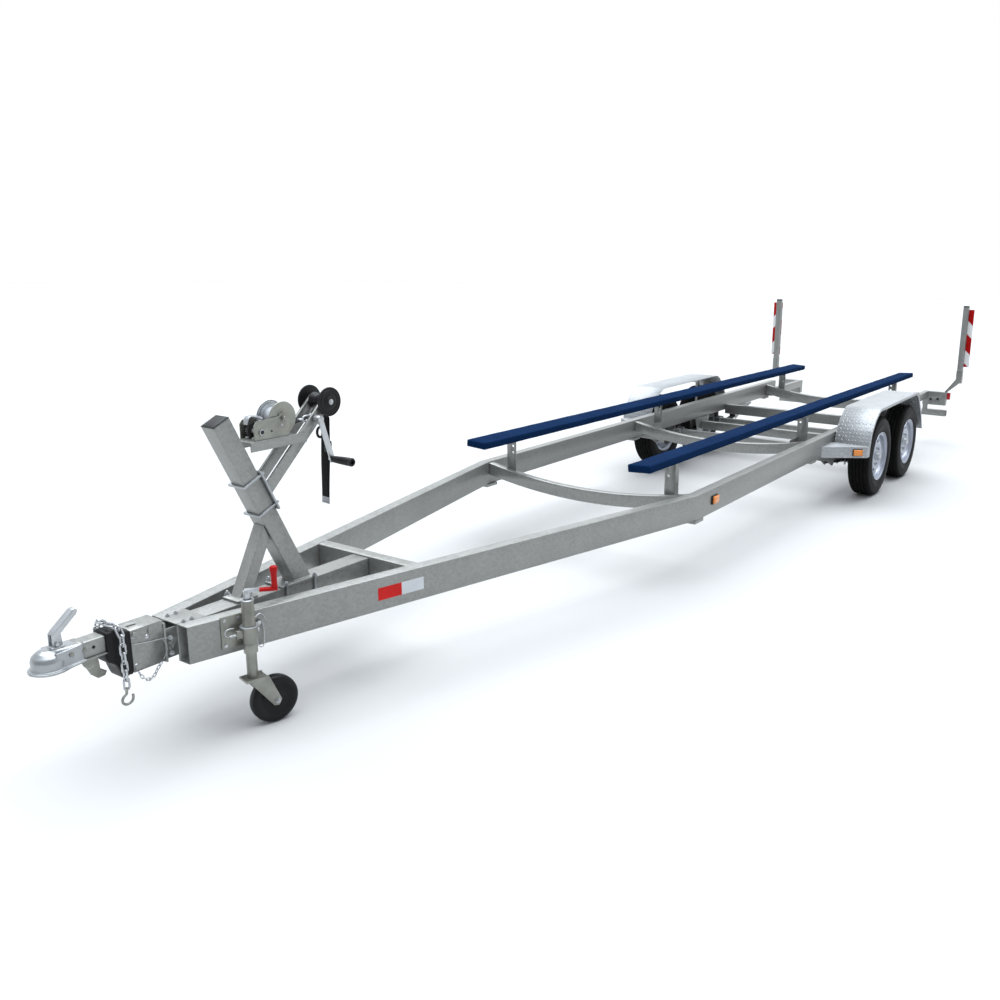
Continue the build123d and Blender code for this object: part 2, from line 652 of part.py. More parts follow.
# winch
winch_in = WINCH_Y - WINCH_T
winch_side = side(WINCH_SIDE, winch_in, WINCH_Y) + rod_y(DRUM_X, DRUM_Z, WINCH_NOSE_R, winch_in, WINCH_Y)
winch_side -= rod_y(DRUM_X, DRUM_Z, DRUM_SHAFT_R + RUN_FIT, 0, 2 * WINCH_Y)
winch_side -= rod_y(*DRIVE, DRIVE_R + RUN_FIT, 0, 2 * WINCH_Y)
tie = rod_y(*WINCH_TIE, WINCH_TIE_R, -winch_in, winch_in)
base = block(*WINCH_BASE_X, -WINCH_Y, WINCH_Y, platform_top + TOUCH, platform_top + WINCH_T)
node("winch_frame", winch_side + mirror_y(winch_side) + tie + base)
shaft_end = WINCH_Y + DRUM_SHAFT_END
drum = rod_y(DRUM_X, DRUM_Z, DRUM_CORE_R, -DRUM_Y, DRUM_Y) + rod_y(DRUM_X, DRUM_Z, DRUM_SHAFT_R, -shaft_end,
                                                                   shaft_end)
disc = rod_y(DRUM_X, DRUM_Z, DRUM_R, DRUM_Y - DRUM_DISC_T / 2, DRUM_Y + DRUM_DISC_T / 2)
node("winch_drum", drum + disc + mirror_y(disc))
drive = rod_y(*DRIVE, DRIVE_R, 2 * WINCH_T - WINCH_Y, WINCH_Y + DRIVE_END)
drive += rod_y(*DRIVE, PINION_R, PINION_Y - PINION_W / 2, PINION_Y + PINION_W / 2)
drive -= Pos(DRIVE[0], WINCH_Y, DRIVE[1]) * Box(KEY_SQ, 3 * KEY_SQ, KEY_SQ)
node("winch_drive", drive)

# strap off the drum, over the arms and hanging
strap_under = offset_line(STRAP_LINE, STRAP_T)
node("winch_strap", side(STRAP_LINE + strap_under[::-1], -STRAP_W / 2, STRAP_W / 2))

# bow roller: waisted middle, flanges outside the arms, one shaft
waist_y = ARM_Y - ROLLER_GAP
roller = [(ROLLER_CORE_R, ROLLER_CORE_HALF), (ROLLER_NECK_R, waist_y), (ROLLER_SHAFT_R, waist_y),
          (ROLLER_SHAFT_R, arm_out + ROLLER_FLANGE[0][1])]
roller += [(r, arm_out + out) for r, out in ROLLER_FLANGE] + [(0, arm_out + ROLLER_FLANGE[-1][1])]
roller += [(r, -y) for r, y in reversed(roller)]
section = make_face(Polyline(*[(ROLLER_X + r, y, ROLLER_Z) for r, y in roller], close=True))
node("bow_roller", revolve(section, axis=Axis((ROLLER_X, 0, ROLLER_Z), (0, 1, 0))))

# winch crank, stowed on the near arm
crank_y = arm_out + CRANK_OUT
crank_run = Vector(CRANK_TIP[0] - CRANK_HUB[0], 0, CRANK_TIP[1] - CRANK_HUB[1])
crank_plane = Plane(origin=(CRANK_HUB[0], crank_y, CRANK_HUB[1]), x_dir=crank_run.normalized(),
                    z_dir=(0, 1, 0))
crank = rod_y(*CRANK_HUB, CRANK_HUB_R, platform_y + TOUCH, crank_y + CRANK_T / 2 + CRANK_HUB_END)
crank += crank_plane * (Pos(crank_run.length / 2, 0, 0) * Box(crank_run.length + CRANK_W, CRANK_W, CRANK_T))
node("winch_crank", crank)
grip_y = crank_y + CRANK_T / 2 + TOUCH
node("winch_crank_grip", rod_y(*CRANK_TIP, CRANK_GRIP_R, grip_y, grip_y + CRANK_GRIP_LEN))

# jack on the near rail: axes laid along the rail's face
jack_face = Pos(JACK_X, rail_y(JACK_X), 0) * Rot(0, 0, -degrees(SPLAY))
tube_y = JACK_GAP


def jack(shape):
    return jack_face * shape


pivot_end = tube_y - JACK_TUBE_R
table_y = MOUNT_T + TURNTABLE_T
mount = rod_y(0, JACK_PIVOT_Z, TURNTABLE_R, MOUNT_T, table_y)
mount += rod_y(0, JACK_PIVOT_Z, PIVOT_R, table_y, pivot_end - TOUCH)
for along, tall in MOUNT_PLATES:
    mount += block(*along, TOUCH, MOUNT_T, *tall)
node("jack_mount", jack(mount))
swivel = Cone(JACK_TUBE_R + SWIVEL_SKIN, SWIVEL_R, SWIVEL_Z[1] - SWIVEL_Z[0], align=STANDING)
leg = Pos(0, tube_y, SWIVEL_Z[0]) * swivel + rod_z(0, tube_y, JACK_TUBE_R, *JACK_Z)
leg += rod_y(0, JACK_PIVOT_Z, SWIVEL_BOSS_R, table_y + TOUCH, tube_y)
leg += block(*PULL_LUG_X, tube_y + PULL_LUG_Y[0], tube_y + PULL_LUG_Y[1], *PULL_LUG_Z)
leg -= rod_z(0, tube_y, JACK_INNER_R + RUN_FIT, JACK_Z[0] - MOUNT_T, JACK_BORE_TOP_Z)
leg -= rod_y(0, JACK_PIVOT_Z, PIVOT_R + RUN_FIT, MOUNT_T, pivot_end)
node("jack_tube", jack(leg))
turn = Axis((0, tube_y, 0), (0, 0, 1))
crank_half = JACK_ARM_W / 2
arm_end = tube_y + CRANK_REACH + crank_half
arm = block(-crank_half, crank_half, tube_y - JACK_ARM_BACK, arm_end, JACK_ARM_Z, JACK_ARM_Z + JACK_ARM_T)
cap = rod_z(0, tube_y, CAP_R, JACK_Z[1] + TOUCH, JACK_ARM_Z + JACK_ARM_T / 2)
grip = Pos(0, tube_y + CRANK_REACH, JACK_ARM_Z + JACK_ARM_T + TOUCH) * Cone(*JACK_GRIP_R, JACK_GRIP_LEN,
                                                                            align=STANDING)
node("jack_crank", jack(cap + arm.rotate(turn, CRANK_TURN_DEG)))
node("jack_crank_grip", jack(grip.rotate(turn, CRANK_TURN_DEG)))

jack_ground_x = JACK_X - JACK_TRAIL * cos(SPLAY) + JACK_GAP * sin(SPLAY)
jz = floor_z(jack_ground_x) + JACK_WHEEL_R / cos(PITCH)
inner_tube = rod_z(0, tube_y, JACK_INNER_R, FORK_Z + TOUCH, JACK_BORE_TOP_Z - JACK_UP - JACK_TOP_GAP)
inner_tube -= rod_z(0, tube_y, KING_R + RUN_FIT, FORK_Z, FORK_Z + KING_H + KING_TOP_GAP)
node("jack_inner_tube", jack(inner_tube))
leg_in = JACK_WHEEL_W / 2 + FORK_WHEEL_GAP
leg_out = leg_in + FORK_LEG_T
pin_out = leg_out + JACK_AXLE_END
fork = block(*FORK_X, tube_y - leg_out, tube_y + leg_out, FORK_Z - FORK_T, FORK_Z)
leg_side = [(x, FORK_Z) for x in FORK_LEG_TOP_X] + [(x - JACK_TRAIL, jz + z) for x, z in FORK_LEG_END]
fork += side(leg_side, tube_y + leg_in, tube_y + leg_out) + side(leg_side, tube_y - leg_out, tube_y - leg_in)
fork += rod_y(-JACK_TRAIL, jz, JACK_AXLE_R, tube_y - pin_out, tube_y + pin_out)
fork += rod_z(0, tube_y, KING_R, FORK_Z - FORK_T, FORK_Z + KING_H)
node("jack_fork", jack(fork))
jack_wheel = rod_y(-JACK_TRAIL, jz, JACK_WHEEL_R, tube_y - JACK_WHEEL_W / 2, tube_y + JACK_WHEEL_W / 2)
jack_wheel = fillet(jack_wheel.edges(), JACK_WHEEL_ROUND)
jack_wheel -= rod_y(-JACK_TRAIL, jz, JACK_AXLE_R + RUN_FIT, tube_y - JACK_WHEEL_W, tube_y + JACK_WHEEL_W)
node("jack_wheel", jack(jack_wheel))

# bunks and their posts
bunk_len = BUNK_X[1] - BUNK_X[0]
bunk_mid_x = (BUNK_X[0] + BUNK_X[1]) / 2
bunk_place = Pos(bunk_mid_x, BUNK_Y, BUNK_TOP_Z + BUNK_RISE * bunk_mid_x) * Rot(0, -degrees(BUNK_RISE), 0)
bunk = bunk_place * Rot(BUNK_TILT_DEG, 0, 0) * (Pos(0, 0, -BUNK_T / 2) * Box(bunk_len, BUNK_W, BUNK_T))
node("bunk_left", bunk)
node("bunk_right", mirror_y(bunk))
brackets = []
for (front_x, height, drop, sag), (back, y_mid) in zip(MEMBERS_CURVED, BUNK_POSTS):
    member_back = front_x - MEMBER_W - TOUCH
    x = member_back - back
    under = BUNK_TOP_Z + BUNK_RISE * x - BUNK_T - POST_CLEAR
    low = RAIL_TOP - drop - sag - POST_BELOW
    y_in = y_mid - POST_W / 2
    y_out = y_mid + POST_W / 2
    bracket = block(x - POST_T, x, y_in, y_out, low, under)
    bracket += block(x - POST_LEG, x, y_out - POST_T, y_out, low + POST_LEG_UP, under)
    if back:
        bracket += block(x - POST_T, member_back, y_in, y_in + POST_T, low, low + POST_ARM)
    for down in POST_HOLES:
        bracket -= rod_x(y_mid - POST_HOLE_OFF, under - down, POST_HOLE_R, x - 2 * POST_T, x + POST_T)
    brackets += both(bracket)
node("bunk_posts", brackets)

# axles, drawn for the standing wheels
AXLE_PLACES = [AXLES_X + AXLE_SPACING / 2, AXLES_X - AXLE_SPACING / 2]
stub_y = WHEEL_OUT_Y - STUB_INSET
axles = []
brake_plates = []
for x in AXLE_PLACES:
    beam = block(x - AXLE_SQ / 2, x + AXLE_SQ / 2, -AXLE_END_Y, AXLE_END_Y, TYRE_R - AXLE_SQ / 2,
                 TYRE_R + AXLE_SQ / 2)
    axles.append(beam + rod_y(x, TYRE_R, STUB_R, -stub_y, stub_y))
    brake = rod_y(x, TYRE_R, DRUM_BRAKE_R, AXLE_END_Y + TOUCH, AXLE_END_Y + BRAKE_PLATE_T)
    brake_plates += both(brake - rod_y(x, TYRE_R, STUB_R + TOUCH, AXLE_END_Y, AXLE_END_Y + 2 * BRAKE_PLATE_T))
node("axles", axles, attitude=False)
node("brake_plates", brake_plates, attitude=False)

# leaf springs under the axles, eyes on the hangers' pins
spring_in = SPRING_Y - SPRING_W / 2
spring_out = SPRING_Y + SPRING_W / 2
bogie_x = level_point(AXLES_X, TYRE_R)[0]
pin_in = spring_in - HANGER_CLEAR - HANGER_T
pin_out = spring_out + HANGER_CLEAR + HANGER_T
springs = []
clamps = []
hangers = []


def eye_pin(x):
    return rod_y(x, EYE_Z, EYE_BORE_R, spring_in - HANGER_CLEAR, spring_out + HANGER_CLEAR)


def hanger_plates(x, corners, way):
    outline = [(x + way * dx, RAIL_Z - TOUCH if dz == HANGER_TOP else EYE_Z + dz) for dx, dz in corners]
    return side(outline, pin_in, pin_in + HANGER_T) + side(outline, pin_out - HANGER_T, pin_out)


middle = hanger_plates(bogie_x, HANGER_MID, 1)
for x_axle, way in zip(AXLE_PLACES, (1, -1)):
    axle_x, axle_z = level_point(x_axle, TYRE_R)
    seat = axle_z - AXLE_SQ / 2 - SEAT_GAP
    x_in = bogie_x + way * EYE_GAP
    x_out = 2 * axle_x - x_in
    half = SPRING_END_T / 2
    top = [Vector(x_in, spring_in, EYE_Z + half), Vector(axle_x, spring_in, seat), Vector(x_out, spring_in,
                                                                                          EYE_Z + half)]
    low = [Vector(x_out, spring_in, EYE_Z - half), Vector(axle_x, spring_in, seat - SPRING_T),
           Vector(x_in, spring_in, EYE_Z - half)]
    edge = [ThreePointArc(*top), Line(top[2], low[0]), ThreePointArc(*low), Line(low[2], top[0])]
    leaf = extrude(make_face(edge), amount=SPRING_W, dir=(0, 1, 0))
    for x in (x_in, x_out):
        leaf += rod_y(x, EYE_Z, EYE_R, spring_in, spring_out)
    for x in (x_in, x_out):
        leaf -= rod_y(x, EYE_Z, EYE_BORE_R + RUN_FIT, spring_in - EYE_R, spring_out + EYE_R)
    springs += both(leaf)
    middle += eye_pin(x_in)
    hangers += both(hanger_plates(x_out, HANGER_FRONT, way) + eye_pin(x_out))
    plate_top = seat - SPRING_T - TOUCH
    plate_low = plate_top - SPRING_PLATE_T
    clamp = block(axle_x - SPRING_PLATE_LEN / 2, axle_x + SPRING_PLATE_LEN / 2, SPRING_Y - SPRING_PLATE_W / 2,
                  SPRING_Y + SPRING_PLATE_W / 2, plate_low, plate_top)
    bolt_y = SPRING_W / 2 + U_BOLT_R + BOLT_CLEAR
    bolt_top = axle_z + AXLE_SQ / 2 + U_BOLT_R + TOUCH
    for x in (axle_x - U_BOLT_X, axle_x + U_BOLT_X):
        for y in (SPRING_Y - bolt_y, SPRING_Y + bolt_y):
            clamp += block(x - U_BOLT_R, x + U_BOLT_R, y - U_BOLT_R, y + U_BOLT_R, plate_low - U_BOLT_TAIL,
                           bolt_top)
        clamp += block(x - U_BOLT_R, x + U_BOLT_R, SPRING_Y - bolt_y, SPRING_Y + bolt_y, bolt_top - U_BOLT_R,
                       bolt_top + U_BOLT_R)
    clamps += both(clamp)
node("leaf_springs", springs)
node("spring_clamps", clamps)
node("spring_hangers", hangers + both(middle))

# wheels
wheel_y = WHEEL_OUT_Y - TYRE_W / 2
tyre_half = [(RIM_SEAT_R, BEAD_Y), (RIM_SEAT_R + BEAD_H, BEAD_Y + 1), (RIM_SEAT_R + 60, TYRE_W / 2 - 2.5),
             (TYRE_R - 62, TYRE_W / 2), (TYRE_R - 22, TYRE_W / 2 - 8.5), (TYRE_R - 8, TYRE_W / 2 - 22.5),
             (TYRE_R, TYRE_W / 2 - 42.5)]
seat_r = RIM_SEAT_R - SEAT_FIT
lip_r = RIM_SEAT_R + RIM_LIP_H
well_r = RIM_SEAT_R - WELL_DEEP
dish_r = (HUB_R + well_r) / 2
rim_lip = [(seat_r, FLANGE_Y), (lip_r + 1, FLANGE_Y + 2), (lip_r + 2, FLANGE_Y + 11),
           (lip_r - 2, FLANGE_Y + 13),
           (RIM_SEAT_R + 2, FLANGE_Y + 5)]
# radius, y from the rim's middle: disc and hub, outer face from the bore out, then well and inner face
disc_out = [(HUB_BORE_R, 16), (HUB_BORE_R, 62), (HUB_R * 0.62, 66), (HUB_R, 52), (dish_r - 19, 50),
            (dish_r + 7, 60),
            (well_r - 20, 52), (well_r - 6, 66)]
disc_in = [(well_r, -60), (well_r, 20), (well_r - 28, 38), (dish_r + 7, 46), (dish_r - 19, 36), (HUB_R, 36),
           (HUB_R, 16)]
rim_section = disc_out + rim_lip[::-1] + [(r, -y) for r, y in rim_lip] + disc_in
tyre_section = [(r, -y) for r, y in tyre_half] + tyre_half[::-1]
for end, x in zip(("front", "rear"), AXLE_PLACES):
    spin = Axis((x, 0, TYRE_R), (0, 1, 0))
    for part, section in (("tyre", tyre_section), ("rim", rim_section)):
        outline = Polyline(*[(x + r, wheel_y + y, TYRE_R) for r, y in section], close=True)
        wheel = revolve(make_face(outline), axis=spin)
        node(part + "_" + end + "_left", wheel, attitude=False)
        node(part + "_" + end + "_right", mirror_y(wheel), attitude=False)

# guards, steps, stays and markers
guard_in, guard_out = GUARD_Y
tyre_top = 2 * TYRE_R
guard_line = [(AXLE_PLACES[0] + TYRE_R + out, tyre_top + up) for out, up in GUARD_FRONT]
guard_line += [(AXLE_PLACES[1] - TYRE_R - out, tyre_top + up) for out, up in GUARD_REAR]
guard_skin = offset_line(guard_line, GUARD_T)
guard_lip = offset_line(guard_line, GUARD_LIP)
guard = side(guard_line + guard_skin[::-1], guard_in, guard_out)
guard += side(guard_line + guard_lip[::-1], guard_out - GUARD_T, guard_out)
node("guards", both(guard))
step_back, step_corner, step_front = STEP_X
step_low = guard_line[0][1]
step_top = step_low + STEP_H
rail_out = BEND_Y + TOUCH
slant_run = Vector(step_front - step_corner, rail_out - guard_out, 0)
inset_x = (guard_out - rail_out) / slant_run.length * STEP_T
inset_y = (step_front - step_corner) / slant_run.length * STEP_T
step = plan([(step_front, rail_out), (step_corner, guard_out), (step_back, guard_out), (step_back, rail_out)],
            step_top - STEP_T, step_top)
step += plan([(step_front, rail_out), (step_corner, guard_out), (step_corner - inset_x, guard_out - inset_y),
              (step_front - 2 * inset_x, rail_out)], step_low, step_top)
step += block(step_back, step_corner, guard_out - STEP_T, guard_out, step_low, step_top)
node("guard_steps", both(step))
guard_under = max(z for x, z in guard_line) - GUARD_T - TOUCH
stay_y = guard_out - STAY_INSET
stay = block(*STAY_X, rail_out, rail_out + STAY_T, RAIL_Z + STAY_LOW, guard_under)
stay += block(*STAY_X, rail_out, stay_y, guard_under - STAY_T, guard_under)
flap = offset_line(guard_line, GUARD_T + TOUCH)[-2:] + offset_line(guard_line,
                                                                   GUARD_T + TOUCH + STAY_T)[-2:][::-1]
flap_x = [x for x, z in flap]
rear_stay = side(flap, rail_out, stay_y)
rear_low = guard_line[-1][1] + REAR_STAY_UP
rear_stay &= block(min(flap_x) - STAY_T, max(flap_x) + STAY_T, rail_out, guard_out, rear_low,
                   rear_low + REAR_STAY_H)
node("guard_stays", both(stay) + both(rear_stay))
rail_face = Plane(origin=(RAIL_MARKER_X, rail_out, RAIL_MARKER_Z), x_dir=(1, 0, 0), z_dir=(0, 1, 0))
step_face = Plane(origin=(step_corner, guard_out, (step_low + step_top) / 2), x_dir=slant_run.normalized(),
                  z_dir=(-slant_run.Y, slant_run.X, 0))
marker = Pos(0, 0, MARKER_T / 2 + TOUCH) * Box(MARKER_LEN, MARKER_H, MARKER_T)
node("side_markers", both(rail_face * marker) + both(step_face * (Pos(MARKER_IN, 0, 0) * marker)))

# rear light arms, brackets, lamps, guide posts and boards
arm_outer = BEND_IN - TOUCH
arm_inner = arm_outer - LIGHT_ARM_W
bracket_low, bracket_top = BRACKET_Z
bracket_front = BRACKET_X + BRACKET_D
arm_start = REAR_X + LIGHT_ARM_LAP
light = block(bracket_front - BRACKET_T, arm_start, arm_inner, arm_outer, bracket_top - LIGHT_ARM_H,
              bracket_top)
light -= block(bracket_front, arm_start + LIGHT_ARM_WALL, arm_inner + LIGHT_ARM_WALL,
               arm_outer - LIGHT_ARM_WALL,
               bracket_top - LIGHT_ARM_H + LIGHT_ARM_WALL, bracket_top - LIGHT_ARM_WALL)
shell = block(BRACKET_X, bracket_front, arm_inner, BRACKET_OUT_Y, bracket_low, bracket_top)
shell -= block(BRACKET_X - BRACKET_T, bracket_front - BRACKET_T, arm_inner + BRACKET_T,
               BRACKET_OUT_Y - BRACKET_T,
               bracket_low - BRACKET_T, bracket_top - BRACKET_T)
for y, z in BRACKET_HOLES:
    shell -= rod_x(y, z, BRACKET_HOLE_R, bracket_front - 2 * BRACKET_T, bracket_front + BRACKET_T)
bumper_top = bracket_low - BUMPER_DROP
bumper_out = BRACKET_OUT_Y + BUMPER_OUT
drop = block(bracket_front - DROP_T, bracket_front, arm_inner + BRACKET_T, arm_inner + BRACKET_T + DROP_W,
             bumper_top - BUMPER_WALL, bracket_low + BRACKET_T)
bumper = block(BRACKET_X, bracket_front, arm_inner, bumper_out, bumper_top - BUMPER_H, bumper_top)
bumper -= block(BRACKET_X + BUMPER_WALL, bracket_front - BUMPER_WALL, bumper_out - BUMPER_HOLLOW,
                bumper_out + BUMPER_WALL,
                bumper_top - BUMPER_H + BUMPER_WALL, bumper_top - BUMPER_WALL)
node("light_brackets", both(light + shell + drop + bumper))
lamp_out = BRACKET_OUT_Y + LAMP_T
lamp = block(BRACKET_X - LAMP_T, BRACKET_X - TOUCH, lamp_out - LAMP_W, lamp_out, LAMP_Z - LAMP_H / 2,
             LAMP_Z + LAMP_H / 2)
node("rear_lamps", both(lamp))
guide = GUIDE_SQ / 2
sleeve = guide + GUIDE_SLEEVE_T
post = block(GUIDE_X - guide, GUIDE_X + guide, GUIDE_Y - guide, GUIDE_Y + guide, GUIDE_LOW_Z, GUIDE_TOP_Z)
post += block(GUIDE_X - sleeve, GUIDE_X + sleeve, GUIDE_Y - sleeve, GUIDE_Y + sleeve, GUIDE_LOW_Z,
              GUIDE_LOW_Z + GUIDE_SLEEVE_H)
arm_foot = bracket_top + TOUCH
arm_half = guide - BRACKET_T + 2
post += front([(BRACKET_OUT_Y - GUIDE_ARM_IN, arm_foot), (BRACKET_OUT_Y, arm_foot),
               (GUIDE_Y + guide, GUIDE_LOW_Z + GUIDE_ARM_UP[1]), (GUIDE_Y - guide,
                                                                  GUIDE_LOW_Z + GUIDE_ARM_UP[0])],
              GUIDE_X - arm_half, GUIDE_X + arm_half)
node("guide_posts", both(post))
cap = block(GUIDE_X - guide, GUIDE_X + guide, GUIDE_Y - guide, GUIDE_Y + guide, GUIDE_TOP_Z + TOUCH,
            GUIDE_TOP_Z + GUIDE_CAP_T)
node("guide_caps", both(cap))
board_out = GUIDE_Y + guide + BOARD_OUT
board_back = GUIDE_X - sleeve - TOUCH
board_top = GUIDE_TOP_Z - BOARD_TOP_GAP
board = block(board_back - BOARD_T, board_back, board_out - BOARD_W, board_out, board_top - BOARD_H,
              board_top)
node("striped_boards", both(board))

# pitch the frame down onto its jack, put the middle of the whole on the origin
pitched = {}
for name, (solids, attitude) in nodes.items():
    pitched[name] = []
    for s in solids:
        moved = Pos(0, 0, -FLOOR_Z * cos(PITCH)) * Rot(0, NOSE_DOWN_DEG, 0) * s if attitude else s
        pitched[name] += list(moved.solids())
lo = min(s.bounding_box().min.X for v in pitched.values() for s in v)
hi = max(s.bounding_box().max.X for v in pitched.values() for s in v)
MID_X = (lo + hi) / 2
os.makedirs("parts", exist_ok=True)
for name, solids in pitched.items():
    moved = [Pos(-MID_X, 0, 0) * s for s in solids]
    shape = moved[0] if len(moved) == 1 else Compound(children=moved)
    export_step(shape, "parts/" + name + ".step")
print("mid x", round(MID_X, 3), "length", round(hi - lo, 1))
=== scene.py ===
import math

import bmesh
import bpy
from mathutils import Matrix, Vector


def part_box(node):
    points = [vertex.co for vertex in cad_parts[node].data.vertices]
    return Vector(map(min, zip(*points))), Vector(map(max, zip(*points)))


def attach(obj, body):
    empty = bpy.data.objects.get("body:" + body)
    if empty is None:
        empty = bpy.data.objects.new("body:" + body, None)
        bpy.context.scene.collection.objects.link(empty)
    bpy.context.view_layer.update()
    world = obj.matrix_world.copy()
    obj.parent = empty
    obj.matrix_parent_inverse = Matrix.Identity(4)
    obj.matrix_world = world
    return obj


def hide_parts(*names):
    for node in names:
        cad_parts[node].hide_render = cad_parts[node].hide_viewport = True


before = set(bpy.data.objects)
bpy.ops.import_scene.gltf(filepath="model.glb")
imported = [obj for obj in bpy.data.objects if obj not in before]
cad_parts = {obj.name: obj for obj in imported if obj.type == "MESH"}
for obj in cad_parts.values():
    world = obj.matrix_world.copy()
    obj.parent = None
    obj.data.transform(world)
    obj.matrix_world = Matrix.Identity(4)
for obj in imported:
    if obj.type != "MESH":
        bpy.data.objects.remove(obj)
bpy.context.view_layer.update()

# the trailer is drawn level, nose towards +X, then stood on its jack
stand = {"noseDown": 1.021, "floorDrop": 0.0181, "middleX": 2.164032}
noseDown = math.radians(stand["noseDown"])
levelToStand = (Matrix.Translation((-stand["middleX"], 0, -stand["floorDrop"] * math.cos(noseDown)))
                @ Matrix.Rotation(noseDown, 4, "Y"))


# shader maths
class Wire:
    def __init__(self, graph, socket):
        self.graph = graph
        self.socket = socket

    def maths(self, operation, *others):
        return self.graph.node("ShaderNodeMath", {"operation": operation}, dict(enumerate((self, *others))))

    def __add__(self, other):
        return self.maths("ADD", other)

    def __sub__(self, other):
        return self.maths("SUBTRACT", other)

    def __mul__(self, other):
        return self.maths("MULTIPLY", other)

    def __truediv__(self, other):
        return self.maths("DIVIDE", other)

    def __rsub__(self, other):
        return self.graph.node("ShaderNodeMath", {"operation": "SUBTRACT"}, {0: other, 1: self})

    __radd__ = __add__
    __rmul__ = __mul__

    def floor(self):
        return self.maths("FLOOR")

    def clamp(self):
        return self.graph.node("ShaderNodeClamp", {}, {"Value": self})

    def above(self, level, softness=0.02):
        return ((self - level) / softness + 0.5).clamp()


class Graph:
    def __init__(self, tree):
        self.tree = tree

    def node(self, kind, settings, inputs, output=0):
        made = self.tree.nodes.new(kind)
        for key, value in settings.items():
            setattr(made, key, value)
        for key, value in inputs.items():
            self.give(made.inputs[key], value)
        return Wire(self, made.outputs[output])

    def give(self, socket, value):
        if isinstance(value, Wire):
            self.tree.links.new(value.socket, socket)
        else:
            socket.default_value = value

    def coords(self, scale=(1, 1, 1), kind="Object"):
        place = self.node("ShaderNodeTexCoord", {}, {}, kind)
        return self.node("ShaderNodeMapping", {}, {"Vector": place, "Scale": scale})

    def split(self, vector):
        return [self.node("ShaderNodeSeparateXYZ", {}, {"Vector": vector}, axis) for axis in "XYZ"]

    def noise(self, scale, detail=4.0, vector=None):
        return self.node("ShaderNodeTexNoise", {}, {"Vector": vector or self.coords(), "Scale": scale,
                                                    "Detail": detail, "Roughness": 0.55})

    def cells(self, scale):
        colour = self.node("ShaderNodeTexVoronoi", {}, {"Vector": self.coords(), "Scale": scale}, "Color")
        return self.split(colour)[0]

    def blend(self, factor, low, high):
        low, high = (end if isinstance(end, Wire) else (*end, 1) for end in (low, high))
        return self.node("ShaderNodeMix", {"data_type": "RGBA"}, {0: factor, 6: low, 7: high}, 2)


class Finish(Graph):
    def __init__(self, name, colour, roughness, metallic=0.0, **fixed):
        self.material = bpy.data.materials.new(name)
        self.material.use_nodes = True
        super().__init__(self.material.node_tree)
        self.shader = self.tree.nodes["Principled BSDF"]
        self.feed("Base Color", (*colour, 1))
        self.feed("Roughness", roughness)
        self.feed("Metallic", metallic)
        for socketName, value in fixed.items():
            self.feed(socketName.replace("_", " "), value)
        self.material.diffuse_color = (*colour, 1)

    def feed(self, socketName, value):
        self.give(self.shader.inputs[socketName], value)

    def colour(self, mix, dark, light):
        self.feed("Base Color", self.blend(mix, dark, light))

    def relief(self, height, depth, strength=1.0):
        self.feed("Normal", self.node("ShaderNodeBump", {}, {"Height": height, "Distance": depth,
                                                             "Strength": strength}))


print("stage: shader helpers ready")


# finishes
def galvanisedSteel(name, dark, light, metal=0.62, rough=0.37, flake=95.0):
    made = Finish(name, light, rough, metal)
    flakes = made.cells(flake)
    clouds = made.noise(5.0, 5.0)
    streaks = made.noise(1.0, 3.0, made.coords((1.5, 40.0, 4.0)))
    mix = (flakes * 0.5 + clouds * 0.55 + streaks * 0.45 - 0.3).clamp()
    made.colour(mix, dark, light)
    made.feed("Roughness", flakes * 0.16 + clouds * 0.12 + (rough - 0.12))
    made.relief(flakes * 0.5 + made.noise(180.0, 2.0), 0.00035, 0.35)
    return made.material


def zincPlate(name, dark, light, rough=0.34, metal=0.8):
    made = Finish(name, light, rough, metal)
    clouds = made.noise(18.0, 5.0)
    grain = made.noise(260.0, 3.0)
    made.colour((clouds * 1.4 - 0.2).clamp(), dark, light)
    made.feed("Roughness", grain * 0.14 + clouds * 0.1 + (rough - 0.1))
    made.relief(grain, 0.0003, 0.25)
    return made.material


def rubber(name, dark, light, rough=0.62, grainScale=220.0, shine=0.16):
    made = Finish(name, dark, rough, Specular_IOR_Level=shine)
    clouds = made.noise(9.0, 4.0)
    grain = made.noise(grainScale, 3.0)
    made.colour((clouds * 1.3 - 0.15).clamp(), dark, light)
    made.feed("Roughness", clouds * 0.18 + (rough - 0.09))
    made.relief(grain, 0.0004, 0.3)
    return made.material


def treadRubber():
    made = Finish("tread_rubber", (0.01, 0.01, 0.009), 0.78, Specular_IOR_Level=0.1)
    along, across, _ = made.split(made.coords(kind="UV"))
    tooth = along / 0.021 + across * 9.0
    cut = (tooth - tooth.floor()).above(0.86, 0.05)
    dust = made.noise(24.0, 4.0)
    # colour: random dust tone, darkened in the tread cuts as painted shade
    dustAndCutShade = (dust * 1.5 - 0.3 + cut * -0.5).clamp()
    made.colour(dustAndCutShade, (0.003, 0.003, 0.003), (0.012, 0.011, 0.01))
    made.relief(1.0 - cut, 0.0022, 0.8)
    return made.material


def carpet():
    made = Finish("bunk_carpet", (0.01, 0.03, 0.095), 0.95, 0.0, Specular_IOR_Level=0.03)
    loops = made.noise(420.0, 3.0)
    tufts = made.cells(260.0)
    patches = made.noise(3.2, 4.0)
    mix = (loops * 0.8 + tufts * 0.35 + patches * 0.55 - 0.35).clamp()
    made.colour(mix, (0.0016, 0.0075, 0.028), (0.006, 0.03, 0.098))
    made.relief(loops + tufts * 0.6, 0.003, 0.8)
    return made.material


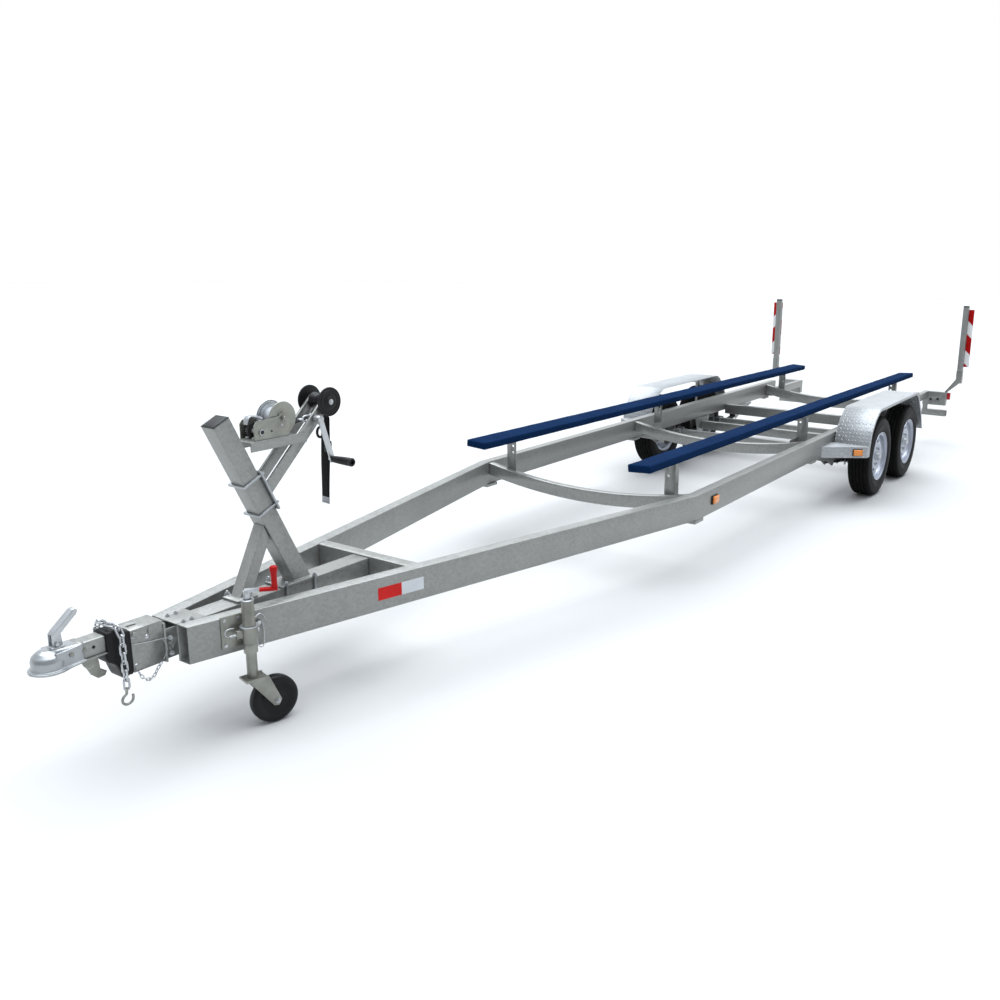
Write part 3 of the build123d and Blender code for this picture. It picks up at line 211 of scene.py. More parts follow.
def checkerPlate():
    made = Finish("checker_plate", (0.5, 0.51, 0.53), 0.32, 0.42)
    pitch = 0.027
    u, v, _ = made.split(made.coords(kind="UV"))
    u, v = u / pitch, v / pitch
    cellU, cellV = u.floor(), v.floor()
    odd = (cellU + cellV) / 2.0
    turn = (odd - odd.floor()) * 4.0 - 1.0
    x, y = u - cellU - 0.5, v - cellV - 0.5
    along, across = (x + y * turn) / 0.62, (y - x * turn) / 0.17
    bar = (1.25 - along * along - across * across).clamp()
    clouds = made.noise(7.0, 5.0)
    # colour: random cloud tone, with the raised bars painted lighter as a painted highlight
    cloudToneAndBarHighlight = (clouds * 0.45 + bar * 0.65).clamp()
    made.colour(cloudToneAndBarHighlight, (0.3, 0.315, 0.33), (0.6, 0.615, 0.63))
    made.feed("Roughness", clouds * 0.2 + 0.3 - bar * 0.12)
    made.relief(bar, 0.004, 1.0)
    return made.material


def webbing():
    made = Finish("strap_webbing", (0.012, 0.012, 0.013), 0.75, Specular_IOR_Level=0.12)
    u, v, _ = made.split(made.coords(kind="UV"))
    rib = (u / 0.0016).maths("SINE")
    cross = (v / 0.0009).maths("SINE")
    weave = rib * cross * 0.5 + 0.5
    tail = v.above(0.925, 0.002)
    stitch = ((v / 0.004).maths("SINE") * (u / 0.0022).maths("COSINE")).above(0.35, 0.2)
    tailColour = made.blend(stitch, (0.3, 0.31, 0.33), (0.62, 0.63, 0.65))
    # the black webbing is lighter on raised threads and darker between them: painted shade in the weave
    black = made.blend(weave, (0.004, 0.004, 0.005), (0.02, 0.02, 0.022))
    made.colour(tail, black, tailColour)
    made.relief(weave, 0.0006, 0.8)
    return made.material


def paintedPlastic(name, dark, light, rough=0.35, coat=0.3, ribs=None, shine=0.5):
    made = Finish(name, light, rough, 0.0, Coat_Weight=coat, Coat_Roughness=0.2, Specular_IOR_Level=shine)
    clouds = made.noise(14.0, 4.0)
    made.colour((clouds * 1.3 - 0.15).clamp(), dark, light)
    height = made.noise(300.0, 2.0)
    if ribs:
        _, _, z = made.split(made.coords())
        height = height * 0.2 + (z / ribs).maths("SINE")
    made.relief(height, 0.0004, 0.4)
    return made.material


def stripedBoard():
    made = Finish("striped_board", (0.9, 0.9, 0.9), 0.45, 0.0, Specular_IOR_Level=0.12)
    _, y, z = made.split(made.coords())
    lane = (z + y.maths("ABSOLUTE")) / 0.306 + 0.32
    red = 1.0 - (lane - lane.floor()).above(0.56, 0.02)
    grime = made.noise(22.0, 5.0)
    white = made.blend(grime, (0.72, 0.73, 0.74), (0.93, 0.93, 0.93))
    scarlet = made.blend(grime, (0.34, 0.002, 0.002), (0.52, 0.006, 0.005))
    made.colour(red, white, scarlet)
    made.relief(made.cells(420.0), 0.0002, 0.3)
    return made.material


finishes = {
    "galvanised": galvanisedSteel("galvanised_steel", (0.232, 0.234, 0.225), (0.342, 0.346, 0.336)),
    "zinc": zincPlate("zinc_plate", (0.185, 0.187, 0.165), (0.35, 0.352, 0.315)),
    "zincPale": zincPlate("pale_zinc", (0.26, 0.275, 0.285), (0.46, 0.48, 0.49), 0.3),
    "zincBright": zincPlate("bright_zinc", (0.34, 0.35, 0.36), (0.6, 0.62, 0.64), 0.28),
    "drumZinc": zincPlate("drum_zinc", (0.46, 0.48, 0.5), (0.72, 0.74, 0.77), 0.34, 0.4),
    "rim": zincPlate("rim_silver", (0.36, 0.38, 0.44), (0.52, 0.55, 0.62), 0.36),
    "tyre": rubber("tyre_rubber", (0.005, 0.005, 0.0055), (0.013, 0.013, 0.014)),
    "tread": treadRubber(),
    "rubber": rubber("black_rubber", (0.003, 0.003, 0.0035), (0.011, 0.012, 0.013), 0.42, shine=0.22),
    "plastic": rubber("black_plastic", (0.006, 0.006, 0.0065), (0.018, 0.018, 0.019), 0.4, 320.0, 0.3),
    "blackSteel": rubber("black_steel", (0.008, 0.008, 0.008), (0.038, 0.036, 0.033), 0.5, 90.0, 0.3),
    "carpet": carpet(),
    "checker": checkerPlate(),
    "webbing": webbing(),
    "redPlastic": paintedPlastic("red_plastic", (0.26, 0.001, 0.002), (0.45, 0.004, 0.005), 0.42, 0.05,
                                 shine=0.15),
    "amber": paintedPlastic("amber_lens", (0.62, 0.16, 0.012), (0.86, 0.29, 0.03), 0.22, 0.6, 0.0012),
    "redLens": paintedPlastic("red_lens", (0.36, 0.003, 0.004), (0.6, 0.01, 0.012), 0.25, 0.25, 0.0012, 0.2),
    "redTape": paintedPlastic("red_tape", (0.46, 0.005, 0.004), (0.64, 0.014, 0.01), 0.4, 0.1, shine=0.15),
    "whiteTape": paintedPlastic("white_tape", (0.5, 0.53, 0.56), (0.64, 0.67, 0.7), 0.4, 0.4),
    "board": stripedBoard(),
}
print("stage: finishes made", len(finishes))


# mesh helpers
def addObject(name, data):
    made = bpy.data.objects.new(name, data)
    bpy.context.scene.collection.objects.link(made)
    return made


def modify(piece, name, kind, **settings):
    made = piece.modifiers.new(name, kind)
    for key, value in settings.items():
        setattr(made, key, value)


def finished(name, shape, looks, body="frame", stands=(), level=True, corner=35, uv=None,
             bevel=0.0):
    bmesh.ops.remove_doubles(shape, verts=shape.verts, dist=1e-6)
    bmesh.ops.recalc_face_normals(shape, faces=shape.faces)
    if level:
        bmesh.ops.transform(shape, matrix=levelToStand, verts=shape.verts)
    if uv:
        uv(shape)
    mesh = bpy.data.meshes.new(name)
    shape.to_mesh(mesh)
    shape.free()
    for look in looks if isinstance(looks, (list, tuple)) else [looks]:
        mesh.materials.append(finishes[look])
    mesh.shade_smooth()
    piece = addObject(name, mesh)
    if bevel:
        modify(piece, "rounded edges", "BEVEL", width=bevel, segments=2, limit_method="ANGLE",
               angle_limit=math.radians(corner), harden_normals=True)
    else:
        mesh.set_sharp_from_angle(angle=math.radians(corner))
    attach(piece, body)
    if stands:
        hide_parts(*stands)
    return piece


upward, sideways = (0, 0, 1), (0, 1, 0)


def alongAxis(start, axis):
    return Matrix.Translation(start) @ axis.to_track_quat("Z", "Y").to_matrix().to_4x4()


def vertsIn(geom):
    return [g for g in geom if isinstance(g, bmesh.types.BMVert)]


def edgesIn(geom):
    return [g for g in geom if isinstance(g, bmesh.types.BMEdge)]


def distinct(items):
    return list(dict.fromkeys(items))


def paint(verts, look):
    faces = distinct(f for v in verts for f in v.link_faces)
    for face in faces:
        face.material_index = look
    return faces


def roundOff(shape, geom, offset, segments=2, affect="EDGES"):
    bmesh.ops.bevel(shape, geom=geom, offset=offset, offset_type="OFFSET", segments=segments, profile=0.5,
                    affect=affect, clamp_overlap=True, material=-1)


# outlines are (radius, along) for a turned piece and (x, z) for a plate or a wire
def shifted(outline, first, second=0.0):
    return [(first + a, second + b) for a, b in outline]


def flipped(outline):
    return [(a, -b) for a, b in reversed(outline)]


def atWidth(y, outline):
    return [(x, y, z) for x, z in outline]


def lathe(shape, profile, centre, axis, steps=48, look=0, closed=False):
    centre, axis = Vector(centre), Vector(axis).normalized()
    across = axis.orthogonal().normalized()
    ring = [shape.verts.new(centre + across * r + axis * a) for r, a in profile]
    edges = [shape.edges.new(pair) for pair in zip(ring, ring[1:])]
    if closed:
        edges.append(shape.edges.new((ring[-1], ring[0])))
    before = set(shape.faces)
    bmesh.ops.spin(shape, geom=ring + edges, cent=centre, axis=axis, angle=math.tau, steps=steps,
                   use_merge=True)
    made = [f for f in shape.faces if f not in before]
    for face in made:
        face.material_index = look
    bmesh.ops.remove_doubles(shape, verts=distinct(v for f in made for v in f.verts), dist=1e-6)
    return [f for f in shape.faces if f not in before]


def rod(shape, start, end, radius, steps=20, look=0):
    start, end = Vector(start), Vector(end)
    made = bmesh.ops.create_cone(shape, cap_ends=True, segments=steps, radius1=radius, radius2=radius,
                                 depth=(end - start).length, matrix=alongAxis((start + end) / 2, end - start))
    paint(made["verts"], look)


# each row: from and to across the trailer, radius, sides and finish
def pins(shape, x, z, rows, sides=(1,)):
    for side in sides:
        for start, end, radius, steps, look in rows:
            rod(shape, (x, side * start, z), (x, side * end, z), radius, steps, look)


def slab(shape, low, high, bevel=0.0, look=0, segments=2, turn=None):
    low, high = Vector(low), Vector(high)
    place = Matrix.Translation((low + high) / 2)
    if turn is not None:
        place = turn @ place
    made = bmesh.ops.create_cube(shape, size=1.0, matrix=place @ Matrix.Diagonal((*(high - low), 1)))["verts"]
    paint(made, look)
    if bevel:
        roundOff(shape, distinct(e for v in made for e in v.link_edges), bevel, segments)


def plate(shape, outline, thickness, look=0, bevel=0.0):
    corners = [shape.verts.new(Vector(p)) for p in outline]
    moved = vertsIn(bmesh.ops.extrude_face_region(shape, geom=[shape.faces.new(corners)])["geom"])
    bmesh.ops.translate(shape, verts=moved, vec=Vector(thickness))
    faces = paint(corners + moved, look)
    if bevel:
        roundOff(shape, distinct(e for f in faces for e in f.edges), bevel)


def bolt(shape, seat, out, size, look=0, tail=0.0):
    seat, out = Vector(seat), Vector(out).normalized()
    rod(shape, seat, seat + out * size * 0.18, size * 1.15, 20, look)
    rod(shape, seat + out * size * 0.18, seat + out * size * 0.85, size * 0.98, 6, look)
    rod(shape, seat + out * size * 0.85, seat + out * (size * 0.95 + tail), size * 0.5, 14, look)


def bothSides(shape):
    copy = bmesh.ops.duplicate(shape, geom=shape.verts[:] + shape.edges[:] + shape.faces[:])["geom"]
    bmesh.ops.scale(shape, vec=(1, -1, 1), verts=vertsIn(copy))
    bmesh.ops.reverse_faces(shape, faces=[g for g in copy if isinstance(g, bmesh.types.BMFace)])


def boxUv(shape):
    layer = shape.loops.layers.uv.new("sheet")
    for face in shape.faces:
        steep = [abs(part) for part in face.normal]
        u, v = ((1, 2), (0, 2), (0, 1))[steep.index(max(steep))]
        for loop in face.loops:
            loop[layer].uv = (loop.vert.co[u], loop.vert.co[v])


# CAD pieces that keep their shape: edges rounded, finish given
def cadShape(node):
    shape = bmesh.new()
    shape.from_mesh(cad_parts[node].data)
    bmesh.ops.remove_doubles(shape, verts=shape.verts, dist=1e-5)
    bmesh.ops.dissolve_limit(shape, angle_limit=math.radians(0.6), verts=shape.verts, edges=shape.edges)
    return shape


def dressNode(node, look, bevel, body="frame"):
    finished(node + "_dressed", cadShape(node), look, body, level=False, stands=[node], bevel=bevel, uv=boxUv)


plainNodes = {
    "rail_left": ("galvanised", 0.004), "rail_right": ("galvanised", 0.004),
    "tongue_beam": ("galvanised", 0.004), "drawbar_crossbar": ("galvanised", 0.004),
    "nose_brackets": ("galvanised", 0.0015), "coupling_housing": ("galvanised", 0.003),
    "crossmembers_curved": ("galvanised", 0.004), "crossmembers_straight": ("galvanised", 0.004),
    "rail_pads": ("galvanised", 0.002), "winch_post": ("galvanised", 0.004),
    "winch_brace": ("galvanised", 0.004), "foot_u_bolts": ("zincBright", 0.003),
    "winch_clamp": ("zincPale", 0.002), "roller_arms": ("galvanised", 0.0015),
    "winch_platform": ("galvanised", 0.0015),
    "winch_frame": ("zinc", 0.0008), "bunk_posts": ("galvanised", 0.0015), "axles": ("galvanised", 0.003),
    "brake_plates": ("blackSteel", 0.002), "leaf_springs": ("blackSteel", 0.0015),
    "spring_clamps": ("zincBright", 0.0015), "spring_hangers": ("galvanised", 0.0015),
    "guard_steps": ("checker", 0.001), "guard_stays": ("galvanised", 0.001),
    "light_brackets": ("galvanised", 0.0015), "guide_posts": ("galvanised", 0.003),
    "guide_caps": ("plastic", 0.002), "jack_mount": ("zinc", 0.0015), "override_hook": ("zinc", 0.001),
    "winch_drive": ("zincBright", 0.0008), "winch_crank": ("zincBright", 0.0015),
    "striped_boards": ("board", 0.001),
    "jack_tube": ("zinc", 0.001, "jack_leg"), "jack_crank": ("zincBright", 0.0015, "jack_leg"),
    "jack_inner_tube": ("zinc", 0.001, "jack_foot_tube"), "jack_fork": ("zinc", 0.0015, "jack_caster"),
}
for node, dressing in plainNodes.items():
    dressNode(node, *dressing)
print("stage: CAD pieces dressed", len(plainNodes))


# wheels
def wrapUv(centre, radius):
    def mapFaces(shape):
        layer = shape.loops.layers.uv.new("around")
        for face in shape.faces:
            turns = [math.atan2(l.vert.co.z - centre.z, l.vert.co.x - centre.x) for l in face.loops]
            widest = max(turns)
            for loop, turn in zip(face.loops, turns):
                turn += math.tau if widest - turn > math.pi else 0
                loop[layer].uv = (turn * radius, loop.vert.co.y - centre.y)
    return mapFaces


tyre = {
    "seat": 0.178, "wall": 0.0925, "treadHalf": 0.07, "grooves": 4, "grooveWidth": 0.009,
    "grooveDepth": 0.008, "steps": 120, "shoulder": 0.018,
    "bead": ((0, 0.068), (0.016, 0.0715), (0.024, 0.078), (0.045, 0.0885)),
    "flank": ((0.068, 0), (0.086, 0.0005), (0.09, 0.0025), (0.108, 0.004)),
}


def tyreProfile(radius):
    seat, wall, half = tyre["seat"], tyre["wall"], tyre["treadHalf"]
    crown = shifted(tyre["bead"], seat) + [(seat + up, wall - inset) for up, inset in tyre["flank"]]
    crown += [(radius - tyre["shoulder"], wall - 0.01), (radius - 0.009, wall - 0.0175),
              (radius - 0.004, half)]
    ribs = []
    pitch = 2 * half / (tyre["grooves"] + 1)
    for i in range(tyre["grooves"]):
        y = half - pitch * (i + 1)
        top = radius - 0.004 * (y / half) ** 2
        wide, bottom = tyre["grooveWidth"] / 2, top - tyre["grooveDepth"]
        ribs += [(top, y + wide), (bottom, y + wide * 0.55), (bottom, y - wide * 0.55), (top, y - wide)]
    return crown + ribs + flipped(crown)


rim = {
    "flange": 0.196, "seat": 0.1775, "nuts": 6, "nutCircle": 0.07, "nutSize": 0.013, "vents": 10,
    "discIn": 0.04, "hubRadius": 0.04, "plate": 0.004, "ventReach": (0.117, 0.134),
    "outerLip": ((-0.008, 0.072), (-0.003, 0.078), (-0.004, 0.0825), (0.0005, 0.0845), (0.002, 0.081),
        (0, 0.074)),
    "outerWell": ((0.001, 0.071), (0, 0.05), (-0.022, 0.03), (-0.026, 0.0), (-0.022, -0.024), (0, -0.045),
        (0.001, -0.071)),
    "innerLip": ((0, -0.074), (0.002, -0.081), (-0.002, -0.084), (-0.008, -0.073)),
    "innerWell": ((-0.004, -0.069), (-0.006, -0.046), (-0.028, -0.026), (-0.032, 0.0), (-0.028, 0.02)),
    "disc": ((0.031, 0.008), (0.052, 0.008), (0.06, 0.006), (0.078, 0.006), (0.088, 0.01), (0.096, 0.017),
        (0.106, 0.019), (0.116, 0.017), (0.134, 0.002), (0.146, -0.01)),
    "hub": ((0, 0.012), (0, 0.018), (-0.006, 0.022), (-0.01, 0.042), (-0.02, 0.05)),
}


def makeWheel(side, end):
    name = f"{end}_{side}"
    low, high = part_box("tyre_" + name)
    centre, radius = (low + high) / 2, (high.z - low.z) / 2
    axis = Vector((0, 1 if side == "left" else -1, 0))
    shape = bmesh.new()
    lathe(shape, tyreProfile(radius), centre, axis, tyre["steps"], closed=True)
    for face in shape.faces:
        away = face.calc_center_median() - centre
        if math.hypot(away.x, away.z) > radius - 0.014:
            face.material_index = 1
    finished(f"tyre_{name}_ribbed", shape, ["tyre", "tread"], "wheel_" + name, ["tyre_" + name],
             level=False, corner=28, uv=wrapUv(centre, radius))
    makeRim(name, centre, axis)


def makeRim(name, centre, axis):
    flange, seat, deep, hub = rim["flange"], rim["seat"], rim["discIn"], rim["hubRadius"]
    barrel = [(seat - 0.016, 0.03), (seat - 0.006, 0.052), (seat - 0.004, 0.068)]
    for start, part in ((flange, "outerLip"), (seat, "outerWell"), (flange, "innerLip"), (seat, "innerWell")):
        barrel += shifted(rim[part], start)
    shape = bmesh.new()
    lathe(shape, barrel, centre, axis, 72, closed=True)
    steps = rim["vents"] * 6
    disc = lathe(shape, shifted(rim["disc"], 0, deep) + [(seat - 0.02, deep - 0.012)], centre, axis, steps)
    low, high = rim["ventReach"]
    vent = []
    for face in disc:
        away = face.calc_center_median() - centre
        turn = (math.atan2(away.z, away.x) / math.tau * steps) % 6
        if low < math.hypot(away.x, away.z) < high and turn < 3:
            vent.append(face)
    bmesh.ops.delete(shape, geom=vent, context="FACES")
    bmesh.ops.solidify(shape, geom=[f for f in disc if f.is_valid], thickness=-rim["plate"])
    cup = [(0, 0.02), (hub - 0.01, 0.02), (hub - 0.01, deep + 0.012)] + shifted(rim["hub"], hub, deep)
    lathe(shape, cup + [(0, deep + 0.052)], centre, axis, 40, 1)
    for i in range(rim["nuts"]):
        turn = math.tau * (i + 0.25) / rim["nuts"]
        spoke = Vector((math.cos(turn), 0, math.sin(turn))) * rim["nutCircle"]
        bolt(shape, centre + spoke + axis * (deep + 0.006), axis, rim["nutSize"], 1, 0.006)
    finished(f"rim_{name}_pierced", shape, ["rim", "zincBright"], "wheel_" + name, ["rim_" + name],
             level=False, corner=30)


for side in ("left", "right"):
    for end in ("front", "rear"):
        makeWheel(side, end)
print("stage: wheels made")

# checker-plate guards
guard = {
    "inside": 0.822, "outside": 1.098, "sheet": 0.0035, "bend": 0.03, "lip": 0.022, "arches": (-0.3, 0.7),
    "archHeight": 0.4,
    "line": ((1.006, 0.425), (0.994, 0.527), (0.962, 0.614), (0.885, 0.699), (0.835, 0.731), (0.765, 0.768),
        (-0.365, 0.768), (-0.43, 0.735), (-0.515, 0.643), (-0.59, 0.542), (-0.662, 0.403)),
}


def makeGuards():
    shape = bmesh.new()
    chain = [shape.verts.new((x, guard["inside"], z)) for x, z in guard["line"]]
    for pair in zip(chain, chain[1:]):
        shape.edges.new(pair)
    roundOff(shape, chain[1:-1], guard["bend"], 5, "VERTICES")
    wide = bmesh.ops.extrude_edge_only(shape, edges=shape.edges[:])["geom"]
    bmesh.ops.translate(shape, verts=vertsIn(wide), vec=(0, guard["outside"] - guard["inside"], 0))
    edge = [e for e in edgesIn(wide) if all(abs(v.co.y - guard["outside"]) < 1e-6 for v in e.verts)]
    (rear, front), height = guard["arches"], guard["archHeight"]
    for vert in vertsIn(bmesh.ops.extrude_edge_only(shape, edges=edge)["geom"]):
        inward = Vector((min(front, max(rear, vert.co.x)), 0, height)) - Vector((vert.co.x, 0, vert.co.z))
        vert.co += inward.normalized() * guard["lip"]
    bmesh.ops.recalc_face_normals(shape, faces=shape.faces)
    bothSides(shape)
    piece = finished("checker_guards", shape, "checker", stands=["guards"], corner=50, uv=boxUv)
    modify(piece, "sheet thickness", "SOLIDIFY", thickness=guard["sheet"], offset=-1)


makeGuards()

# carpeted bunks
bunk = {"cuts": 90, "round": 0.008, "wave": 0.0006}


def makeBunk(name, node):
    shape = cadShape(node)
    long = [e for e in shape.edges if e.calc_length() > 1.0]
    bmesh.ops.subdivide_edges(shape, edges=long, cuts=bunk["cuts"], use_grid_fill=True)
    roundOff(shape, [e for e in shape.edges if e.calc_face_angle(0) > 1.0], bunk["round"], 3)
    for vert in shape.verts:
        wave = math.sin(vert.co.x * 23.0 + vert.co.z * 40) * math.sin(vert.co.x * 7.3 + vert.co.y * 31)
        vert.co += vert.normal * bunk["wave"] * (wave - 1)
    finished(name, shape, "carpet", stands=[node], level=False, corner=80)


makeBunk("carpet_bunk_left", "bunk_left")
makeBunk("carpet_bunk_right", "bunk_right")
print("stage: guards and bunks made")

# bent wire and links
def bentWire(shape, points, radius, look=0, closed=False, sides=3):
    curve = bpy.data.curves.new("wire", "CURVE")
    curve.dimensions = "3D"
    curve.bevel_depth = radius
    curve.bevel_resolution = sides
    curve.use_fill_caps = True
    curve.resolution_u = 6
    line = curve.splines.new("NURBS")
    line.points.add(len(points) - 1)
    for point, place in zip(line.points, points):
        point.co = (*place, 1)
    line.order_u = 3
    line.use_endpoint_u = not closed
    line.use_cyclic_u = closed
    holder = bpy.data.objects.new("wire", curve)
    mesh = bpy.data.meshes.new_from_object(holder)
    before = len(shape.faces)
    shape.from_mesh(mesh)
    shape.faces.ensure_lookup_table()
    for face in shape.faces[before:]:
        face.material_index = look
    bpy.data.objects.remove(holder)
    bpy.data.meshes.remove(mesh)
    bpy.data.curves.remove(curve)


def chainLink(shape, place, size):
    ends, reach, wire = size["straight"] / 2, size["centreRadius"], size["wire"] / 2
    turned = Matrix.Translation((ends, reach, 0)) @ Matrix.Rotation(math.pi / 2, 4, "Y")
    ring = bmesh.ops.create_circle(shape, segments=10, radius=wire, matrix=turned)["verts"]
    edges = distinct(e for v in ring for e in v.link_edges)
    bend = {"axis": (0, 0, -1), "angle": math.pi, "steps": 7}
    last = bmesh.ops.spin(shape, geom=ring + edges, cent=(ends, 0, 0), **bend)["geom_last"]
    carried = bmesh.ops.extrude_edge_only(shape, edges=edgesIn(last))["geom"]
    moved = vertsIn(carried)
    bmesh.ops.translate(shape, verts=moved, vec=(-2 * ends, 0, 0))
    last = bmesh.ops.spin(shape, geom=moved + edgesIn(carried), cent=(-ends, 0, 0), **bend)["geom_last"]
    bmesh.ops.bridge_loops(shape, edges=edges + edgesIn(last))
    todo, found = list(ring), dict.fromkeys(ring)
    while todo:
        for edge in todo.pop().link_edges:
            todo += [v for v in edge.verts if v not in found]
            found.update(dict.fromkeys(edge.verts))
    bmesh.ops.transform(shape, matrix=place, verts=list(found))


def layLinks(shape, line, size, across):
    for i, (start, end) in enumerate(zip(line, line[1:])):
        start, end, flat = Vector(start), Vector(end), Vector(across)
        run = (end - start).normalized()
        if i % 2 == 0:
            flat = flat.cross(run)
        place = Matrix((run, flat.cross(run), flat)).transposed().to_4x4()
        chainLink(shape, Matrix.Translation((start + end) / 2) @ place, size)


def gear(shape, centre, axis, radius, width, teeth, look=0):
    centre, axis = Vector(centre), Vector(axis).normalized()
    place = alongAxis(centre - axis * width / 2, axis)
    made = bmesh.ops.create_cone(shape, cap_ends=True, segments=teeth * 4, radius1=radius, radius2=radius,
                                 depth=width, matrix=place @ Matrix.Translation((0, 0, width / 2)))["verts"]
    for vert in made:
        away = place.inverted() @ vert.co
        step = round(math.atan2(away.y, away.x) / math.tau * teeth * 4) % 4
        if step < 2:
            away.x, away.y = away.x * 0.9, away.y * 0.9
            vert.co = place @ away
    paint(made, look)


# ball coupling
coupling = {
    "ballX": 6.716, "shankX": 6.534, "shankHalf": 0.032, "shankLow": 0.568, "shankTop": 0.626,
    "plug": (6.575, 0.598), "domeTop": 0.634, "domeRadius": 0.055, "lipRadius": 0.067, "lipDrop": 0.009,
    "voxel": 0.0024,
    "neck": ((0.004, 0.052), (0.05, 0.046), (0.096, 0.0375), (0.104, 0.036)),
    "flange": ((0.002, 0.066), (0.11, 0.043)),
    "bolts": ((6.66, 0.043, 0.604, 0.0085), (6.61, 0.032, 0.6, 0.0078)),
}


def makeCouplingHead():
    x, low, top = coupling["ballX"], coupling["shankLow"], coupling["domeTop"]
    dome, lip, drop = coupling["domeRadius"], coupling["lipRadius"], coupling["lipDrop"]
    shape = bmesh.new()
    lathe(shape, [(0.026, low + 0.004), (dome, low - 0.002), (dome + 0.001, low + 0.03),
                  (dome - 0.004, low + 0.044), (0.036, top - 0.008), (0.022, top - 0.001), (0, top)],
          (x, 0, 0), upward, 56)
    lathe(shape, [(0, low + 0.02), (0.026, low + 0.004), (0.026, low + 0.004)], (x, 0, 0), upward, 56)
    neck, flange = [[*half, *flipped(half)] for half in (coupling["neck"], coupling["flange"])]
    plate(shape, [(x - back, y, low) for back, y in neck], (0, 0, 0.058))
    plate(shape, [(x + 0.01, y, low + 0.052) for y in (-0.02, 0.02)] +
          [(x - 0.1, y, low + 0.048) for y in (0.034, -0.034)], (0, 0, 0.012))
    lathe(shape, [(0.03, low - drop), (lip, low - drop), (lip, low), (0.03, low)], (x, 0, 0), upward, 56,
          closed=True)
    plate(shape, [(x - back, y, low - 0.008) for back, y in flange], (0, 0, 0.008))
    piece = finished("coupling_head_cast", shape, "zincPale", stands=["coupling_head"])
    modify(piece, "cast body", "REMESH", mode="VOXEL", voxel_size=coupling["voxel"], use_smooth_shade=True)
    modify(piece, "fillets", "SMOOTH", factor=0.5, iterations=5)


def makeShank():
    half, low, top = coupling["shankHalf"], coupling["shankLow"], coupling["shankTop"]
    x0, x1 = coupling["shankX"], coupling["ballX"] - 0.098
    shape = bmesh.new()
    slab(shape, (x0 - 0.004, -half, low - 0.004), (x1, half, top), 0.006, segments=3)
    slab(shape, (x0 - 0.002, -half - 0.009, low - 0.008), (x1 - 0.002, half + 0.009, low - 0.003), 0.0015)
    slab(shape, (x1 - 0.012, -0.03, top - 0.01), (x1 + 0.01, 0.03, top + 0.004), 0.005)
    for side in (-1, 1):
        for x, y, z, size in coupling["bolts"]:
            bolt(shape, (x, side * y, z), (0, side, 0), size, 1)
        x, z = coupling["plug"]
        rod(shape, (x, side * (half - 0.001), z), (x, side * (half + 0.0006), z), 0.006, 20, 2)
    finished("coupling_shank", shape, ["galvanised", "zinc", "rubber"])


lever = {
    "cheek": ((6.668, 0.632), (6.703, 0.632), (6.7025, 0.679), (6.691, 0.691), (6.625, 0.746),
        (6.613, 0.749), (6.606, 0.742), (6.611, 0.731), (6.671, 0.679)),
    "cover": ((6.7025, 0.68), (6.692, 0.6915), (6.624, 0.748), (6.612, 0.7505), (6.612, 0.7465),
        (6.623, 0.744), (6.69, 0.6875), (6.6985, 0.678)),
    "cheekY": (-0.014, 0.0105), "sheet": 0.0035, "coverY": -0.0145, "coverWidth": 0.029,
    "pivot": (6.69, 0.646),
}


def makeLever():
    shape = bmesh.new()
    for y in lever["cheekY"]:
        plate(shape, atWidth(y, lever["cheek"]), (0, lever["sheet"], 0), bevel=0.0008)
    plate(shape, atWidth(lever["coverY"], lever["cover"]), (0, lever["coverWidth"], 0), bevel=0.0012)
    x, z = lever["pivot"]
    rod(shape, (x, -0.022, z), (x, 0.022, z), 0.006, 16)
    slab(shape, (6.664, -0.021, 0.624), (6.708, 0.021, 0.638), 0.004)
    finished("coupling_lever_pressed", shape, "zincBright", stands=["coupling_lever"])


# each ring of the boot: x, half width, bottom and top
boot = {
    "round": 0.016,
    "rings": ((6.4455, 0.0465, 0.45, 0.619), (6.451, 0.0495, 0.446, 0.624), (6.458, 0.046, 0.45, 0.621),
        (6.465, 0.049, 0.445, 0.628), (6.472, 0.045, 0.449, 0.626), (6.479, 0.0475, 0.444, 0.632),
        (6.487, 0.044, 0.447, 0.63), (6.495, 0.0455, 0.474, 0.6345), (6.503, 0.0415, 0.5, 0.632),
        (6.511, 0.043, 0.506, 0.637), (6.519, 0.0385, 0.514, 0.633), (6.527, 0.039, 0.516, 0.637),
        (6.534, 0.035, 0.53, 0.628)),
}


def makeBoot():
    rings = boot["rings"]
    shape = bmesh.new()
    x, half, low, top = rings[0]
    corners = [shape.verts.new((x, y, z)) for y, z in ((-half, low), (half, low), (half, top), (-half, top))]
    for i in range(4):
        shape.edges.new((corners[i], corners[(i + 1) % 4]))
    roundOff(shape, corners, boot["round"], 5, "VERTICES")
    loop = list(shape.edges)
    for (x0, h0, l0, t0), (x1, h1, l1, t1) in zip(rings, rings[1:]):
        made = edgesIn(bmesh.ops.extrude_edge_only(shape, edges=loop)["geom"])
        loop = [e for e in made if all(abs(v.co.x - x0) < 1e-6 for v in e.verts) and len(e.link_faces) == 1]
        for vert in distinct(v for e in loop for v in e.verts):
            vert.co.x = x1
            vert.co.y *= h1 / h0
            vert.co.z = l1 + (vert.co.z - l0) * (t1 - l1) / (t0 - l0)
    bmesh.ops.holes_fill(shape, edges=[e for e in shape.edges if len(e.link_faces) == 1], sides=0)
    piece = finished("coupling_bellows", shape, "rubber", stands=["coupling_boot"], corner=80)
    modify(piece, "soft folds", "SUBSURF", levels=2, render_levels=2)


housing = {
    "side": 0.048, "bolts": ((6.436, 0.592), (6.385, 0.574), (6.436, 0.478)),
    "boltDome": ((0, 0.006), (0.005, 0.0052), (0.0085, 0.003), (0.01, 0.0), (0.0105, -0.001), (0, -0.001)),
}


def makeHousingTrim():
    shape = bmesh.new()
    for x, z in housing["bolts"]:
        for side in (-1, 1):
            lathe(shape, housing["boltDome"], (x, side * housing["side"], z), (0, side, 0), 24)
    finished("coupling_housing_bolts", shape, "zincBright", corner=40)


